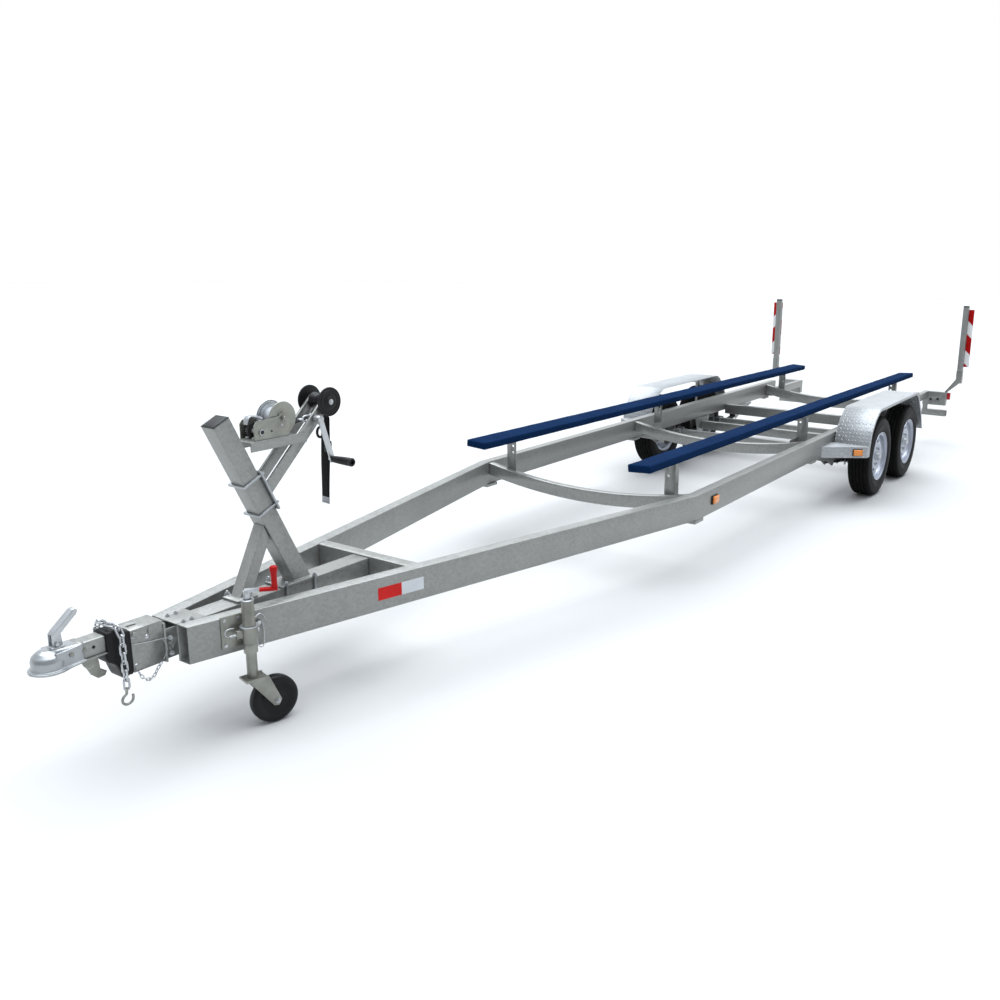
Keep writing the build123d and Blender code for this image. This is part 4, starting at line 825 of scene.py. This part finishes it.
makeCouplingHead()
makeShank()
makeLever()
makeBoot()
makeHousingTrim()

# safety chain, hook and the loops about the coupling
chain = {
    "straight": 0.024, "centreRadius": 0.01, "wire": 0.0075, "pitch": 0.033, "fall": 6,
    "drape": ((6.5, -0.075, 0.587), (6.5, -0.075, 0.62), (6.5, -0.057, 0.647), (6.5, -0.028, 0.65),
        (6.5, 0.0, 0.65), (6.498, 0.028, 0.65), (6.496, 0.057, 0.647), (6.496, 0.075, 0.62)),
    "hook": ((0, 0.004), (0.004, -0.01), (0.002, -0.02), (0.018, -0.028), (0.024, -0.044), (0.012, -0.06),
        (-0.008, -0.06), (-0.022, -0.046), (-0.019, -0.03)),
    "hookWire": 0.0048,
}
loops = {
    "small": {"straight": 0.01, "centreRadius": 0.005, "wire": 0.0034},
    "sagY": 0.058,
    "sag": ((6.436, 0.458), (6.43, 0.442), (6.421, 0.428), (6.409, 0.418), (6.395, 0.413), (6.382, 0.417),
        (6.372, 0.428), (6.363, 0.441), (6.352, 0.453), (6.342, 0.462)),
    "cable": ((6.449, 0.0525, 0.566), (6.42, 0.0535, 0.561), (6.37, 0.053, 0.553), (6.322, 0.0525, 0.548),
        (6.303, 0.053, 0.542)),
    "drop": ((6.328, 0.0525, 0.545), (6.312, 0.0545, 0.52), (6.32, 0.056, 0.486), (6.334, 0.0575, 0.47)),
    "ring": ((6.6, -0.004, 0.545), (6.606, 0, 0.532), (6.586, 0.004, 0.512), (6.566, 0.004, 0.516),
        (6.56, 0, 0.535)),
}


def makeChain():
    shape = bmesh.new()
    x, y, z = chain["drape"][-1]
    hang = [(x, y, z - chain["pitch"] * (i + 1)) for i in range(chain["fall"])]
    layLinks(shape, [*chain["drape"], *hang], chain, (1, 0, 0))
    x, y, z = hang[-1]
    bentWire(shape, atWidth(y, shifted(chain["hook"], x, z)), chain["hookWire"], 1)
    finished("safety_chain_links", shape, ["zincBright", "zinc"], stands=["safety_chain"], corner=60)


def makeCouplingLoops():
    shape = bmesh.new()
    layLinks(shape, atWidth(loops["sagY"], loops["sag"]), loops["small"], sideways)
    for name, radius in (("cable", 0.0014), ("drop", 0.0014), ("ring", 0.0022)):
        bentWire(shape, loops[name], radius)
    finished("coupling_loops", shape, "zincBright", corner=60)


makeChain()
makeCouplingLoops()
print("stage: coupling and chain made")

# winch
# discHub is radius and how far out from discY, and discRim counts its radius from discRadius
# drumGear is y, radius, width and teeth, and a pinion's height above the shaft comes after its y
winch = {
    "drum": (5.704, 0, 1.284), "discRadius": 0.068, "discY": 0.037, "core": 0.04,
    "drive": (5.816, 0, 1.243),
    "discHub": ((0.036, 0.001), (0.03, 0.0022), (0.018, 0.0022), (0.012, 0.0036), (0.0085, 0.0036)),
    "discRim": ((-0.012, -0.0012), (-0.005, 0.0008), (-0.002, 0.0004), (0, -0.0012), (0.0008, 0.0006),
        (-0.001, 0.0026), (-0.006, 0.0028), (-0.013, 0.001)),
    "pawlPlate": ((5.788, 1.2995), (5.824, 1.2995), (5.832, 1.2925), (5.84, 1.27), (5.8425, 1.2705),
        (5.834, 1.2945), (5.8255, 1.3025), (5.788, 1.3025)),
    "pawlPin": (5.806, 1.2975), "sideStuds": ((5.767, 1.241), (5.714, 1.259)), "baseBolts": (5.835, 5.706),
    "baseTop": 1.216, "tiePin": (5.77, 1.2765), "rivets": 6, "rivetCircle": 0.026, "rivetRadius": 0.0035,
    "drumGear": (-0.0315, 0.06, 0.006, 44),
    "pinions": ((-0.029, 0, 0.022, 0.016, 14), (-0.008, 0.002, 0.03, 0.008, 18)),
    "drumNut": ((0.0455, 0.0475, 0.0125, 24, 0), (0.047, 0.0495, 0.007, 6, 2)),
    "pawl": ((5.776, -0.012, 1.262), (5.812, -0.004, 1.278)),
    "shaft": ((-0.036, 0.036, 0.0075, 20, 0), (0.0365, 0.041, 0.0135, 28, 0),
        (0.0455, 0.0468, 0.0125, 28, 0), (0.0462, 0.0506, 0.0085, 24, 2)),
}


def makeDrum():
    shape = bmesh.new()
    radius, y, core = winch["discRadius"], winch["discY"], winch["core"]
    half = [(core, 0), (core, y - 0.004), (core + 0.004, y - 0.0016)]
    half += shifted(winch["discRim"], radius, y) + shifted(winch["discHub"], 0, y)
    half += [(0.0085, 0.052), (0.0065, 0.054), (0, 0.054)]
    for face in lathe(shape, flipped(half) + half[1:], winch["drum"], sideways, 64):
        face.material_index = abs(face.calc_center_median().y) < y
    x, _, z = winch["drum"]
    # the drum nut's outer hex is black steel, standing for the dark hole at the axle end: painted shade
    pins(shape, x, z, winch["drumNut"], (-1, 1))
    for turn in range(winch["rivets"]):
        spoke = Vector((math.cos(turn), 0, math.sin(turn))) * winch["rivetCircle"]
        foot = Vector(winch["drum"]) + spoke + Vector((0, y + 0.001, 0))
        rod(shape, foot, foot + Vector((0, 0.002, 0)), winch["rivetRadius"], 12, 1)
    finished("winch_drum_spun", shape, ["zinc", "drumZinc", "blackSteel"], stands=["winch_drum"], corner=40)


def makeWinchWorks():
    shape = bmesh.new()
    x, _, z = winch["drive"]
    y, *size = winch["drumGear"]
    gear(shape, Vector(winch["drum"]) + Vector((0, y, 0)), sideways, *size)
    # the pinions are black steel and the pawl block black plastic: dark pieces put between the side plates as
    # painted shade
    for y, up, *size in winch["pinions"]:
        gear(shape, (x, y, z + up), sideways, *size, 1)
    pins(shape, x, z, winch["shaft"])
    plate(shape, atWidth(-0.036, winch["pawlPlate"]), (0, 0.03, 0), bevel=0.0006)
    (tieX, tieZ), (px, pz) = winch["tiePin"], winch["pawlPin"]
    rod(shape, (px, -0.039, pz), (px, 0.039, pz), 0.0045, 16)
    rod(shape, (tieX, -0.04, tieZ), (tieX, 0.04, tieZ), 0.004, 16)
    slab(shape, *winch["pawl"], 0.002, 2)
    zigzag = [(5.8, 0.012 + 0.0012 * i * (i % 2), 1.284 + 0.003 * math.sin(i * 1.6)) for i in range(8)]
    bentWire(shape, zigzag, 0.0012)
    coil = [(px + 0.006 * math.cos(i * 1.1), -0.002 + 0.0022 * i, pz + 0.006 * math.sin(i * 1.1))
            for i in range(16)]
    bentWire(shape, coil, 0.0011)
    # the first side stud is a black plastic disc standing for the shade inside a small hole in the side
    # plate, which is painted shade; the second is a zinc stud
    for side in (-1, 1):
        for look, (px, pz) in zip((2, 0), winch["sideStuds"]):
            rod(shape, (px, side * 0.0448, pz), (px, side * 0.0462, pz), 0.0042, 16, look)
    for px in winch["baseBolts"]:
        for side in (-1, 1):
            bolt(shape, (px, side * 0.02, winch["baseTop"]), upward, 0.0075, 0)
    finished("winch_works", shape, ["zincBright", "blackSteel", "plastic"], corner=35)


grip = {
    "ribs": 13, "radius": 0.0145, "swell": 0.0032,
    "start": ((0, 0.0), (0.0125, 0.0), (0.0145, 0.003), (0.014, 0.008)),
    "rib": ((-0.0012, 0), (0.0004, 0.0022), (0.0004, 0.005), (-0.001, 0.0066)),
    "end": ((0.0182, -0.01), (0.0188, -0.004), (0.0168, -0.0006), (0.013, 0), (0.0112, -0.001),
        (0.0106, -0.014), (0, -0.014)),
}


def makeCrankGrip():
    low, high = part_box("winch_crank_grip")
    length = high.y - low.y
    back = levelToStand.inverted() @ ((low + high) / 2)
    shape = bmesh.new()
    profile = list(grip["start"])
    for i in range(grip["ribs"]):
        along = 0.012 + (length - 0.024) * i / grip["ribs"]
        swell = grip["radius"] + grip["swell"] * math.sin(math.pi * 0.5 * i / grip["ribs"])
        profile += shifted(grip["rib"], swell, along)
    profile += shifted(grip["end"], 0, length)
    lathe(shape, profile, (back.x, back.y - length / 2, back.z), sideways, 40)
    bolt(shape, (back.x, back.y - length / 2 - 0.011, back.z), (0, -1, 0), 0.009, 1)
    finished("winch_grip_ribbed", shape, ["plastic", "zincBright"], stands=["winch_crank_grip"])


roller = {
    "centre": (5.472, 0, 1.324), "axle": ((-0.0735, 0.0735, 0.0098, 24, 1),),
    "axleEnd": ((0.0715, 0.073, 0.012, 24, 1), (0.0725, 0.075, 0.007, 20, 1)),
    "cheek": ((0.01, 0.0515), (0.024, 0.0515), (0.04, 0.052), (0.056, 0.056), (0.0615, 0.058),
        (0.062, 0.0605), (0.062, 0.064), (0.06, 0.0655), (0.053, 0.064), (0.05, 0.064), (0.048, 0.0662),
        (0.042, 0.067), (0.039, 0.0655), (0.033, 0.066), (0.03, 0.0685), (0.022, 0.0695), (0.02, 0.072),
        (0.012, 0.0722)),
    "waist": ((0.012, 0.0315), (0.033, 0.0315), (0.0345, 0.029), (0.032, 0.022), (0.027, 0.01)),
    "waistMiddle": (0.0258, 0.0),
}


def makeRoller():
    shape = bmesh.new()
    for side in (-1, 1):
        lathe(shape, roller["cheek"], roller["centre"], (0, side, 0), 64)
    right = roller["waist"][::-1]
    lathe(shape, [*flipped(right), roller["waistMiddle"], *right], roller["centre"], sideways, 56)
    x, _, z = roller["centre"]
    pins(shape, x, z, roller["axle"])
    pins(shape, x, z, roller["axleEnd"], (-1, 1))
    finished("bow_roller_moulded", shape, ["rubber", "zincBright"], "bow_roller",
             ["bow_roller"], corner=40)


makeDrum()
makeWinchWorks()
makeCrankGrip()
makeRoller()

# winch strap
strap = {
    "width": 0.05, "thickness": 0.0026, "ripple": 0.0025, "overArms": (5.47, 1.262), "hangLength": 0.3935,
    "line": ((5.704, 1.249), (5.69, 1.243), (5.64, 1.25), (5.56, 1.26), (5.47, 1.2622), (5.449, 1.2575),
        (5.4435, 1.245), (5.445, 1.22), (5.45, 1.13), (5.458, 1.0), (5.4655, 0.869)),
    "clip": ((5.6, 1.262), (5.59, 1.276), (5.56, 1.275), (5.528, 1.262), (5.506, 1.246), (5.498, 1.234),
        (5.506, 1.23), (5.53, 1.24), (5.566, 1.252), (5.592, 1.254)),
    "fold": ((5.452, 0.006, 1.098), (5.466, 0.044, 1.15)), "wires": (0.0042, 0.0035, 0.0058),
    "clipY": 0.034, "eye": (5.604, 0.03, 1.264), "eyeRadius": 0.01, "ring": (5.508, 0.036, 1.196),
    "ringReach": (0.019, 0.024),
}


def makeStrapHook():
    shape = bmesh.new()
    turns = [(math.cos(i * 0.9), math.sin(i * 0.9)) for i in range(7)]
    clipWire, eyeWire, ringWire = strap["wires"]
    bentWire(shape, atWidth(strap["clipY"], strap["clip"]), clipWire, closed=True)
    (x, y, z), reach = strap["eye"], strap["eyeRadius"]
    bentWire(shape, [(x + reach * c, y + reach * s, z) for c, s in turns], eyeWire, closed=True)
    (x, y, z), (wide, tall) = strap["ring"], strap["ringReach"]
    bentWire(shape, [(x + wide * c, y, z + tall * s) for c, s in turns], ringWire, 1, closed=True)
    slab(shape, *strap["fold"], 0.005, 1, 3)
    finished("strap_hook", shape, ["zincBright", "rubber"], corner=60)


def makeStrap():
    shape = bmesh.new()
    line, width, (overX, overZ) = strap["line"], strap["width"], strap["overArms"]
    verts = [shape.verts.new((x, -width / 2, z)) for x, z in line]
    edges = [shape.edges.new(pair) for pair in zip(verts, verts[1:])]
    bmesh.ops.subdivide_edges(shape, edges=edges, cuts=5)
    wide = bmesh.ops.extrude_edge_only(shape, edges=shape.edges[:])["geom"]
    bmesh.ops.translate(shape, verts=vertsIn(wide), vec=(0, width, 0))
    across = [e for e in shape.edges if abs(e.verts[0].co.y - e.verts[1].co.y) > 0.04]
    bmesh.ops.subdivide_edges(shape, edges=across, cuts=4, use_grid_fill=True)
    layer = shape.loops.layers.uv.new("web")
    for face in shape.faces:
        for loop in face.loops:
            co = loop.vert.co
            down = overZ - co.z if co.x < overX else 0.0
            loop[layer].uv = (co.y, down / strap["hangLength"] if down else (line[0][0] - co.x) * 0.2)
    for vert in shape.verts:
        hang = max(0.0, min(1.0, (1.24 - vert.co.z) / 0.2)) if vert.co.x < 5.48 else 0.0
        vert.co.x += hang * strap["ripple"] * math.sin(vert.co.y * 60 + vert.co.z * 14)
    piece = finished("winch_strap_web", shape, "webbing", stands=["winch_strap"], corner=80)
    modify(piece, "web thickness", "SOLIDIFY", thickness=strap["thickness"], offset=0)


makeStrap()
makeStrapHook()
print("stage: winch, roller and strap made")

# jack
# the drawbar rails run from railNose to railKink, as (x, y)
railNose, railKink = (6.263, 0.109), (3.394, 0.803)
railSlope = (railKink[1] - railNose[1]) / (railNose[0] - railKink[0])
jack = {
    "x": 6.0534, "splay": math.atan(railSlope), "gap": 0.0515,
    "arm": {"low": 0.684, "thick": 0.01, "width": 0.024, "skin": 0.0004, "redFrom": 0.45},
    "cap": ((0.0165, 0.65), (0.0235, 0.65), (0.0252, 0.6515), (0.0252, 0.6545), (0.0235, 0.656),
        (0.0165, 0.656)),
    "collar": ((0.0245, 0.5455), (0.0345, 0.5455), (0.0362, 0.5475), (0.0345, 0.5495), (0.0245, 0.5495)),
    "sleeve": ((0.0245, 0.44), (0.0265, 0.44), (0.0268, 0.47), (0.0245, 0.478)),
    "stem": ((0.6525, 0.672, 0.0125, 24, 2), (0.672, 0.684, 0.009, 20, 0)),
    "pinHeight": 0.52,
    "pinBow": ((0.076, -0.003, 0.52), (0.092, -0.003, 0.522), (0.098, 0, 0.545), (0.08, 0, 0.556),
        (0.06, 0, 0.551)),
    "grip": ((0, 0.0005), (0.0105, 0.0005), (0.0125, 0.004), (0.011, 0.01), (0.0108, 0.03), (0.0112, 0.05),
        (0.0125, 0.062), (0.0148, 0.07), (0.0152, 0.078), (0.0138, 0.083), (0.009, 0.0858), (0, 0.086)),
}
jackFace = (jack["x"], railNose[1] + (railNose[0] - jack["x"]) * railSlope, 0)
jackPlace = Matrix.Translation(jackFace) @ Matrix.Rotation(-jack["splay"], 4, "Z")


def onJack(shape):
    bmesh.ops.transform(shape, matrix=jackPlace, verts=shape.verts)
    return shape


def makeJackTrim():
    g = jack["gap"]
    shape = bmesh.new()
    for part, steps, look in (("cap", 40, 1), ("collar", 48, 1), ("sleeve", 40, 0)):
        lathe(shape, jack[part], (0, g, 0), upward, steps, look, closed=True)
    for low, high, radius, steps, look in jack["stem"]:
        rod(shape, (0, g, low), (0, g, high), radius, steps, look)
    z = jack["pinHeight"]
    rod(shape, (-0.038, g - 0.004, z), (-0.024, g - 0.004, z), 0.0085, 20, 1)
    finished("jack_tube_trim", onJack(shape), ["zinc", "zincBright", "rubber"], "jack_leg", corner=40)
    pin = bmesh.new()
    rod(pin, (0.052, g - 0.003, z), (0.078, g - 0.003, z), 0.0055, 18)
    bentWire(pin, [(x, g + y, z) for x, y, z in jack["pinBow"]], 0.0022)
    finished("jack_pull_pin", onJack(pin), "zincBright", "jack_leg", corner=60)


mountTrim = {
    "plate": 0.008, "wireY": 0.0108, "nut": 0.0062, "knobTop": 0.014,
    "nuts": ((0.078, 0.574), (0.078, 0.472), (0.02, 0.574), (-0.02, 0.56), (-0.02, 0.48)),
    "pinWire": ((-0.036, 0.552), (-0.06, 0.572), (-0.078, 0.56), (-0.084, 0.54)),
    "ringWire": ((-0.044, 0.47), (-0.046, 0.44), (-0.062, 0.424), (-0.076, 0.44), (-0.076, 0.51),
        (-0.07, 0.536)),
}


def makeJackMountTrim():
    # nothing here stands out far enough to meet the jack as it swings by
    shape = bmesh.new()
    y, top = mountTrim["plate"], mountTrim["knobTop"]
    for x, z in mountTrim["nuts"]:
        bolt(shape, (x, y, z), (0, 1, 0), mountTrim["nut"])
    for wire in ("pinWire", "ringWire"):
        bentWire(shape, atWidth(mountTrim["wireY"], mountTrim[wire]), 0.002)
    rod(shape, (-0.034, y, 0.516), (-0.034, top, 0.516), 0.011, 20, 1)
    rod(shape, (-0.058, y, 0.532), (-0.058, top, 0.532), 0.009, 6)
    finished("jack_mount_trim", onJack(shape), ["zincBright", "amber"], "frame", corner=40)


def makeJackGrip():
    low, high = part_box("jack_crank_grip")
    centre = levelToStand.inverted() @ ((low + high) / 2)
    shape = bmesh.new()
    lathe(shape, jack["grip"], (centre.x, centre.y, centre.z - 0.043), upward, 40)
    arm = jack["arm"]
    hub = jackPlace @ Vector((0, jack["gap"], arm["low"]))
    along = Vector((centre.x - hub.x, centre.y - hub.y, 0))
    reach = along.length
    turn = Matrix.Translation(hub) @ along.to_track_quat("X", "Z").to_matrix().to_4x4()
    half, skin = arm["width"] / 2 + arm["skin"], arm["skin"]
    low, high = (reach * arm["redFrom"], -half, -skin), (reach + half, half, arm["thick"] + skin)
    slab(shape, low, high, 0.0015, turn=turn)
    finished("jack_grip_moulded", shape, "redPlastic", "jack_leg", stands=["jack_crank_grip"], corner=50)


jackWheel = {
    "half": 0.0245, "steps": 72, "boltOut": 0.0342,
    "side": ((0.0078, 0.0005), (0.02, 0.0005), (0.024, -0.002), (0.03, -0.008), (0.052, -0.01),
        (0.062, -0.005), (0.07, -0.001)),
    "tread": ((-0.014, 0), (-0.006, -0.003), (-0.0012, -0.009), (0, -0.016)),
}


def makeJackWheel():
    low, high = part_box("jack_wheel")
    centre, radius, half = (low + high) / 2, (high.z - low.z) / 2, jackWheel["half"]
    axis = Vector((math.sin(jack["splay"]), math.cos(jack["splay"]), 0))
    side = shifted(jackWheel["side"], 0, half) + shifted(jackWheel["tread"], radius, half)
    shape = bmesh.new()
    lathe(shape, [*side, (radius, 0), *flipped(side)], centre, axis, jackWheel["steps"], closed=True)
    rod(shape, centre - axis * (half + 0.001), centre + axis * (half + 0.001), 0.0125, 24, 1)
    finished("jack_wheel_moulded", shape, ["rubber", "zinc"], "jack_wheel", ["jack_wheel"],
             level=False, corner=40)
    cap = bmesh.new()
    for out in (-1, 1):
        bolt(cap, centre + axis * out * jackWheel["boltOut"], axis * out, 0.0095, 0, 0.003)
    finished("jack_axle_bolts", cap, "zincBright", "jack_caster", level=False)


makeJackTrim()
makeJackMountTrim()
makeJackGrip()
makeJackWheel()
print("stage: jack made")

# markers, lamps and tape
marker = {
    "depth": 0.021, "base": 0.009, "frameEdge": 0.0045, "long": 0.078, "tall": 0.053,
    "onRail": (3.169, 0.8033, 0.514), "stepInner": (1.245, 0.8033), "stepCorner": (1.04, 1.098),
    "stepHeight": 0.4675,
}
tape = {"red": (5.354, 5.47), "white": (5.242, 5.354), "lowZ": 0.479, "highZ": 0.536, "proud": 0.0004}
lamp = {"x": (-2.472, -2.4423, 0.012), "y": (0.88, 0.955), "z": (0.428, 0.502)}


def lensBlock(shape, place):
    half, tall, base, edge = marker["long"] / 2, marker["tall"] / 2, marker["base"], marker["frameEdge"]
    slab(shape, (-half, -tall, 0.0003), (half, tall, base), 0.0015, 1, turn=place)
    slab(shape, (-half + edge, -tall + edge, base - 0.001), (half - edge, tall - edge, marker["depth"]),
         0.004, segments=3, turn=place)


def makeMarkers():
    shape = bmesh.new()
    railFace = Matrix(((-1, 0, 0), (0, 0, 1), (0, 1, 0))).transposed().to_4x4()
    lensBlock(shape, Matrix.Translation(marker["onRail"]) @ railFace)
    inner, corner = Vector(marker["stepInner"]), Vector(marker["stepCorner"])
    run = (inner - corner).normalized().to_3d()
    stepFace = Matrix((run, Vector(upward), Vector((-run.y, run.x, 0)))).transposed().to_4x4()
    centre = Vector((*corner, marker["stepHeight"])) + run * marker["long"]
    lensBlock(shape, Matrix.Translation(centre) @ stepFace)
    bothSides(shape)
    finished("side_marker_lenses", shape, ["amber", "plastic"], stands=["side_markers"], corner=40)


def makeLamps():
    shape = bmesh.new()
    (back, seat, edge), (inner, outer), (low, high) = lamp["x"], lamp["y"], lamp["z"]
    for side in (-1, 1):
        y0, y1 = sorted((side * inner, side * outer))
        rimLow, rimHigh = sorted((side * (outer - 0.004), side * (outer + 0.0006)))
        slab(shape, (back, y0, low), (seat, y1, high), 0.006, 0, 3)
        slab(shape, (seat - edge, rimLow, low + 0.006), (seat - 0.002, rimHigh, high - 0.006), 0.001, 1)
    finished("rear_lamp_lenses", shape, ["redLens", "zincBright"], stands=["rear_lamps"], corner=40)


def makeTape():
    shape = bmesh.new()
    out = Vector((math.sin(jack["splay"]), math.cos(jack["splay"]), 0)) * tape["proud"]
    for look, (x0, x1) in enumerate((tape["red"], tape["white"])):
        corners = ((x0, tape["lowZ"]), (x1, tape["lowZ"]), (x1, tape["highZ"]), (x0, tape["highZ"]))
        plate(shape, [(x, railNose[1] + (railNose[0] - x) * railSlope, z) for x, z in corners], out, look)
    bothSides(shape)
    finished("rail_reflectors", shape, ["redTape", "whiteTape"])


makeMarkers()
makeLamps()
makeTape()

# plugs and fasteners on the frame
plugs = {
    "postFoot": (5.65, 0, 0.582), "postLean": 25.4, "postTop": (0.8003, 0.803, 0.804),
    "postHalf": (0.04, 0.034), "grommets": ((0.772, 0.43), (0.844, 0.436)), "grommetX": (-2.3875, -2.379),
    "grommetRadius": 0.0128,
}


def makePlugs():
    shape = bmesh.new()
    (outer, inner), (low, lip, top) = plugs["postHalf"], plugs["postTop"]
    lean = Matrix.Translation(plugs["postFoot"]) @ Matrix.Rotation(math.radians(plugs["postLean"]), 4, "Y")
    slab(shape, (-outer, -outer, low), (outer, outer, lip), 0.001, 1, turn=lean)
    slab(shape, (-inner, -inner, low), (inner, inner, top), 0.0004, turn=lean)
    back, face = plugs["grommetX"]
    for side in (-1, 1):
        for y, z in plugs["grommets"]:
            rod(shape, (back, side * y, z), (face, side * y, z), plugs["grommetRadius"], 24)
    finished("black_plugs", shape, ["plastic", "rubber"], corner=40)


# upright bolts: x, y, z and size; rearward bolts also the thread beyond the nut
# bunk posts: x of the cross-member's face, how far back the tube stands, and y
fasteners = {
    "nosePlate": (6.294, 0.0475, (0.54, 0.478)), "tail": 0.004,
    "upright": ((6.2, 0.05, 0.582, 0.008), (6.235, 0.05, 0.582, 0.008), (5.6, 0.056, 0.585, 0.0095),
        (5.752, 0.056, 0.585, 0.0095), (5.96, 0.056, 0.585, 0.0095)),
    "rearward": ((-2.442, 0.73, 0.47, 0.0085, 0.004), (-2.442, 0.885, 0.47, 0.0085, 0.004),
        (-2.4785, 1.05, 0.85, 0.006, 0), (-2.4785, 1.05, 1.32, 0.006, 0)),
    "bunkPosts": ((3.384, 0.0, 0.588), (1.42, 0.145, 0.628), (-1.445, 0.0, 0.582)),
    "postDeep": 0.0502, "nutIn": 0.006, "bunkTop": 0.7575, "bunkRise": 0.0094, "plank": 0.054,
    "below": 0.056, "footZ": 0.522, "footY": (-0.02, 0.02),
}


def makeFasteners():
    shape = bmesh.new()
    rearward, tail = (-1, 0, 0), fasteners["tail"]
    x, y, heights = fasteners["nosePlate"]
    for z in heights:
        bolt(shape, (x, y, z), sideways, 0.0085, 0, tail)
    for side in (-1, 1):
        for x, y, z, size in fasteners["upright"]:
            bolt(shape, (x, side * y, z), upward, size, 0, tail)
        for x, y, z, size, end in fasteners["rearward"]:
            bolt(shape, (x, side * y, z), rearward, size, 0, end)
        for face, back, y in fasteners["bunkPosts"]:
            x = face - fasteners["postDeep"] - back
            top = fasteners["bunkTop"] + fasteners["bunkRise"] * x - fasteners["plank"]
            x -= fasteners["nutIn"]
            bolt(shape, (x, side * (y + 0.012), top - fasteners["below"]), rearward, 0.007, 0, tail)
            for dy in fasteners["footY"]:
                bolt(shape, (x, side * (y + dy), fasteners["footZ"]), rearward, 0.0085, 0, 0.005)
    finished("frame_fasteners", shape, "zincBright", corner=35)


makePlugs()
makeFasteners()
print("stage: lamps, markers, tape and fasteners made")

# studio
studio = {
    "zenith": (0.94, 1.02, 1.12), "backdrop": (1.06, 1.07, 1.08), "seen": (1.0, 1.0, 1.0),
    "room": (0.27, 0.27, 0.27), "floor": (0.47, 0.47, 0.47), "floorPale": (0.51, 0.51, 0.51),
    "overhead": 4.3, "overheadColour": (0.94, 0.98, 1.0), "overheadTilt": (8, -10, 0), "softAngle": 70,
}


def makeStudio():
    scene = bpy.context.scene
    world = bpy.data.worlds.new("studio")
    world.use_nodes = True
    scene.world = world
    tree = world.node_tree
    sky = Graph(tree)
    place = sky.node("ShaderNodeTexCoord", {}, {}, "Generated")
    x, y, z = sky.split(place)
    facing = ((x * -0.82 + y * -0.57) * 0.75 + 0.5).clamp()
    walls = sky.blend(facing, studio["room"], studio["backdrop"])
    glow = sky.blend(((z - 0.08) * 1.4).clamp(), walls, studio["zenith"])
    seen = sky.node("ShaderNodeLightPath", {}, {}, "Is Camera Ray")
    sky.give(tree.nodes["Background"].inputs[0], sky.blend(seen, glow, studio["seen"]))
    shape = bmesh.new()
    bmesh.ops.create_grid(shape, x_segments=1, y_segments=1, size=60)
    mesh = bpy.data.meshes.new("floor")
    shape.to_mesh(mesh)
    shape.free()
    floorLook = Finish("studio_floor", studio["floor"], 0.9)
    floorLook.colour(floorLook.noise(0.6), studio["floor"], studio["floorPale"])
    mesh.materials.append(floorLook.material)
    floor = addObject("studio_floor", mesh)
    floor.location.z = -0.001
    scene.view_settings.view_transform = "Standard"


def makeSun():
    lamp = bpy.data.lights.new("overhead", "SUN")
    lamp.angle = math.radians(studio["softAngle"])
    lamp.energy = studio["overhead"]
    lamp.color = studio["overheadColour"]
    addObject("overhead", lamp).rotation_euler = [math.radians(turn) for turn in studio["overheadTilt"]]


camera = {
    "place": (8.2127, 3.0908, 1.9524), "pan": 213.42, "tilt": 13.5, "roll": 0.483, "lens": 33.95,
    "shift": (-0.0693, -0.0225),
}


def makeCamera():
    pan, tilt, roll = (math.radians(camera[k]) for k in ("pan", "tilt", "roll"))
    ahead = Vector((math.cos(tilt) * math.cos(pan), math.cos(tilt) * math.sin(pan), -math.sin(tilt)))
    right = ahead.cross(Vector((0, 0, 1))).normalized()
    up = right.cross(ahead)
    right, up = right * math.cos(roll) + up * math.sin(roll), up * math.cos(roll) - right * math.sin(roll)
    data = bpy.data.cameras.new("camera")
    data.lens = camera["lens"]
    data.sensor_width = 36.0
    data.shift_x, data.shift_y = camera["shift"]
    data.clip_end = 200
    turn = Matrix((right, up, -ahead)).transposed().to_4x4()
    holder = addObject("camera", data)
    holder.matrix_world = levelToStand @ Matrix.Translation(camera["place"]) @ turn
    bpy.context.scene.camera = holder


makeStudio()
makeSun()
makeCamera()
print("stage: studio ready")
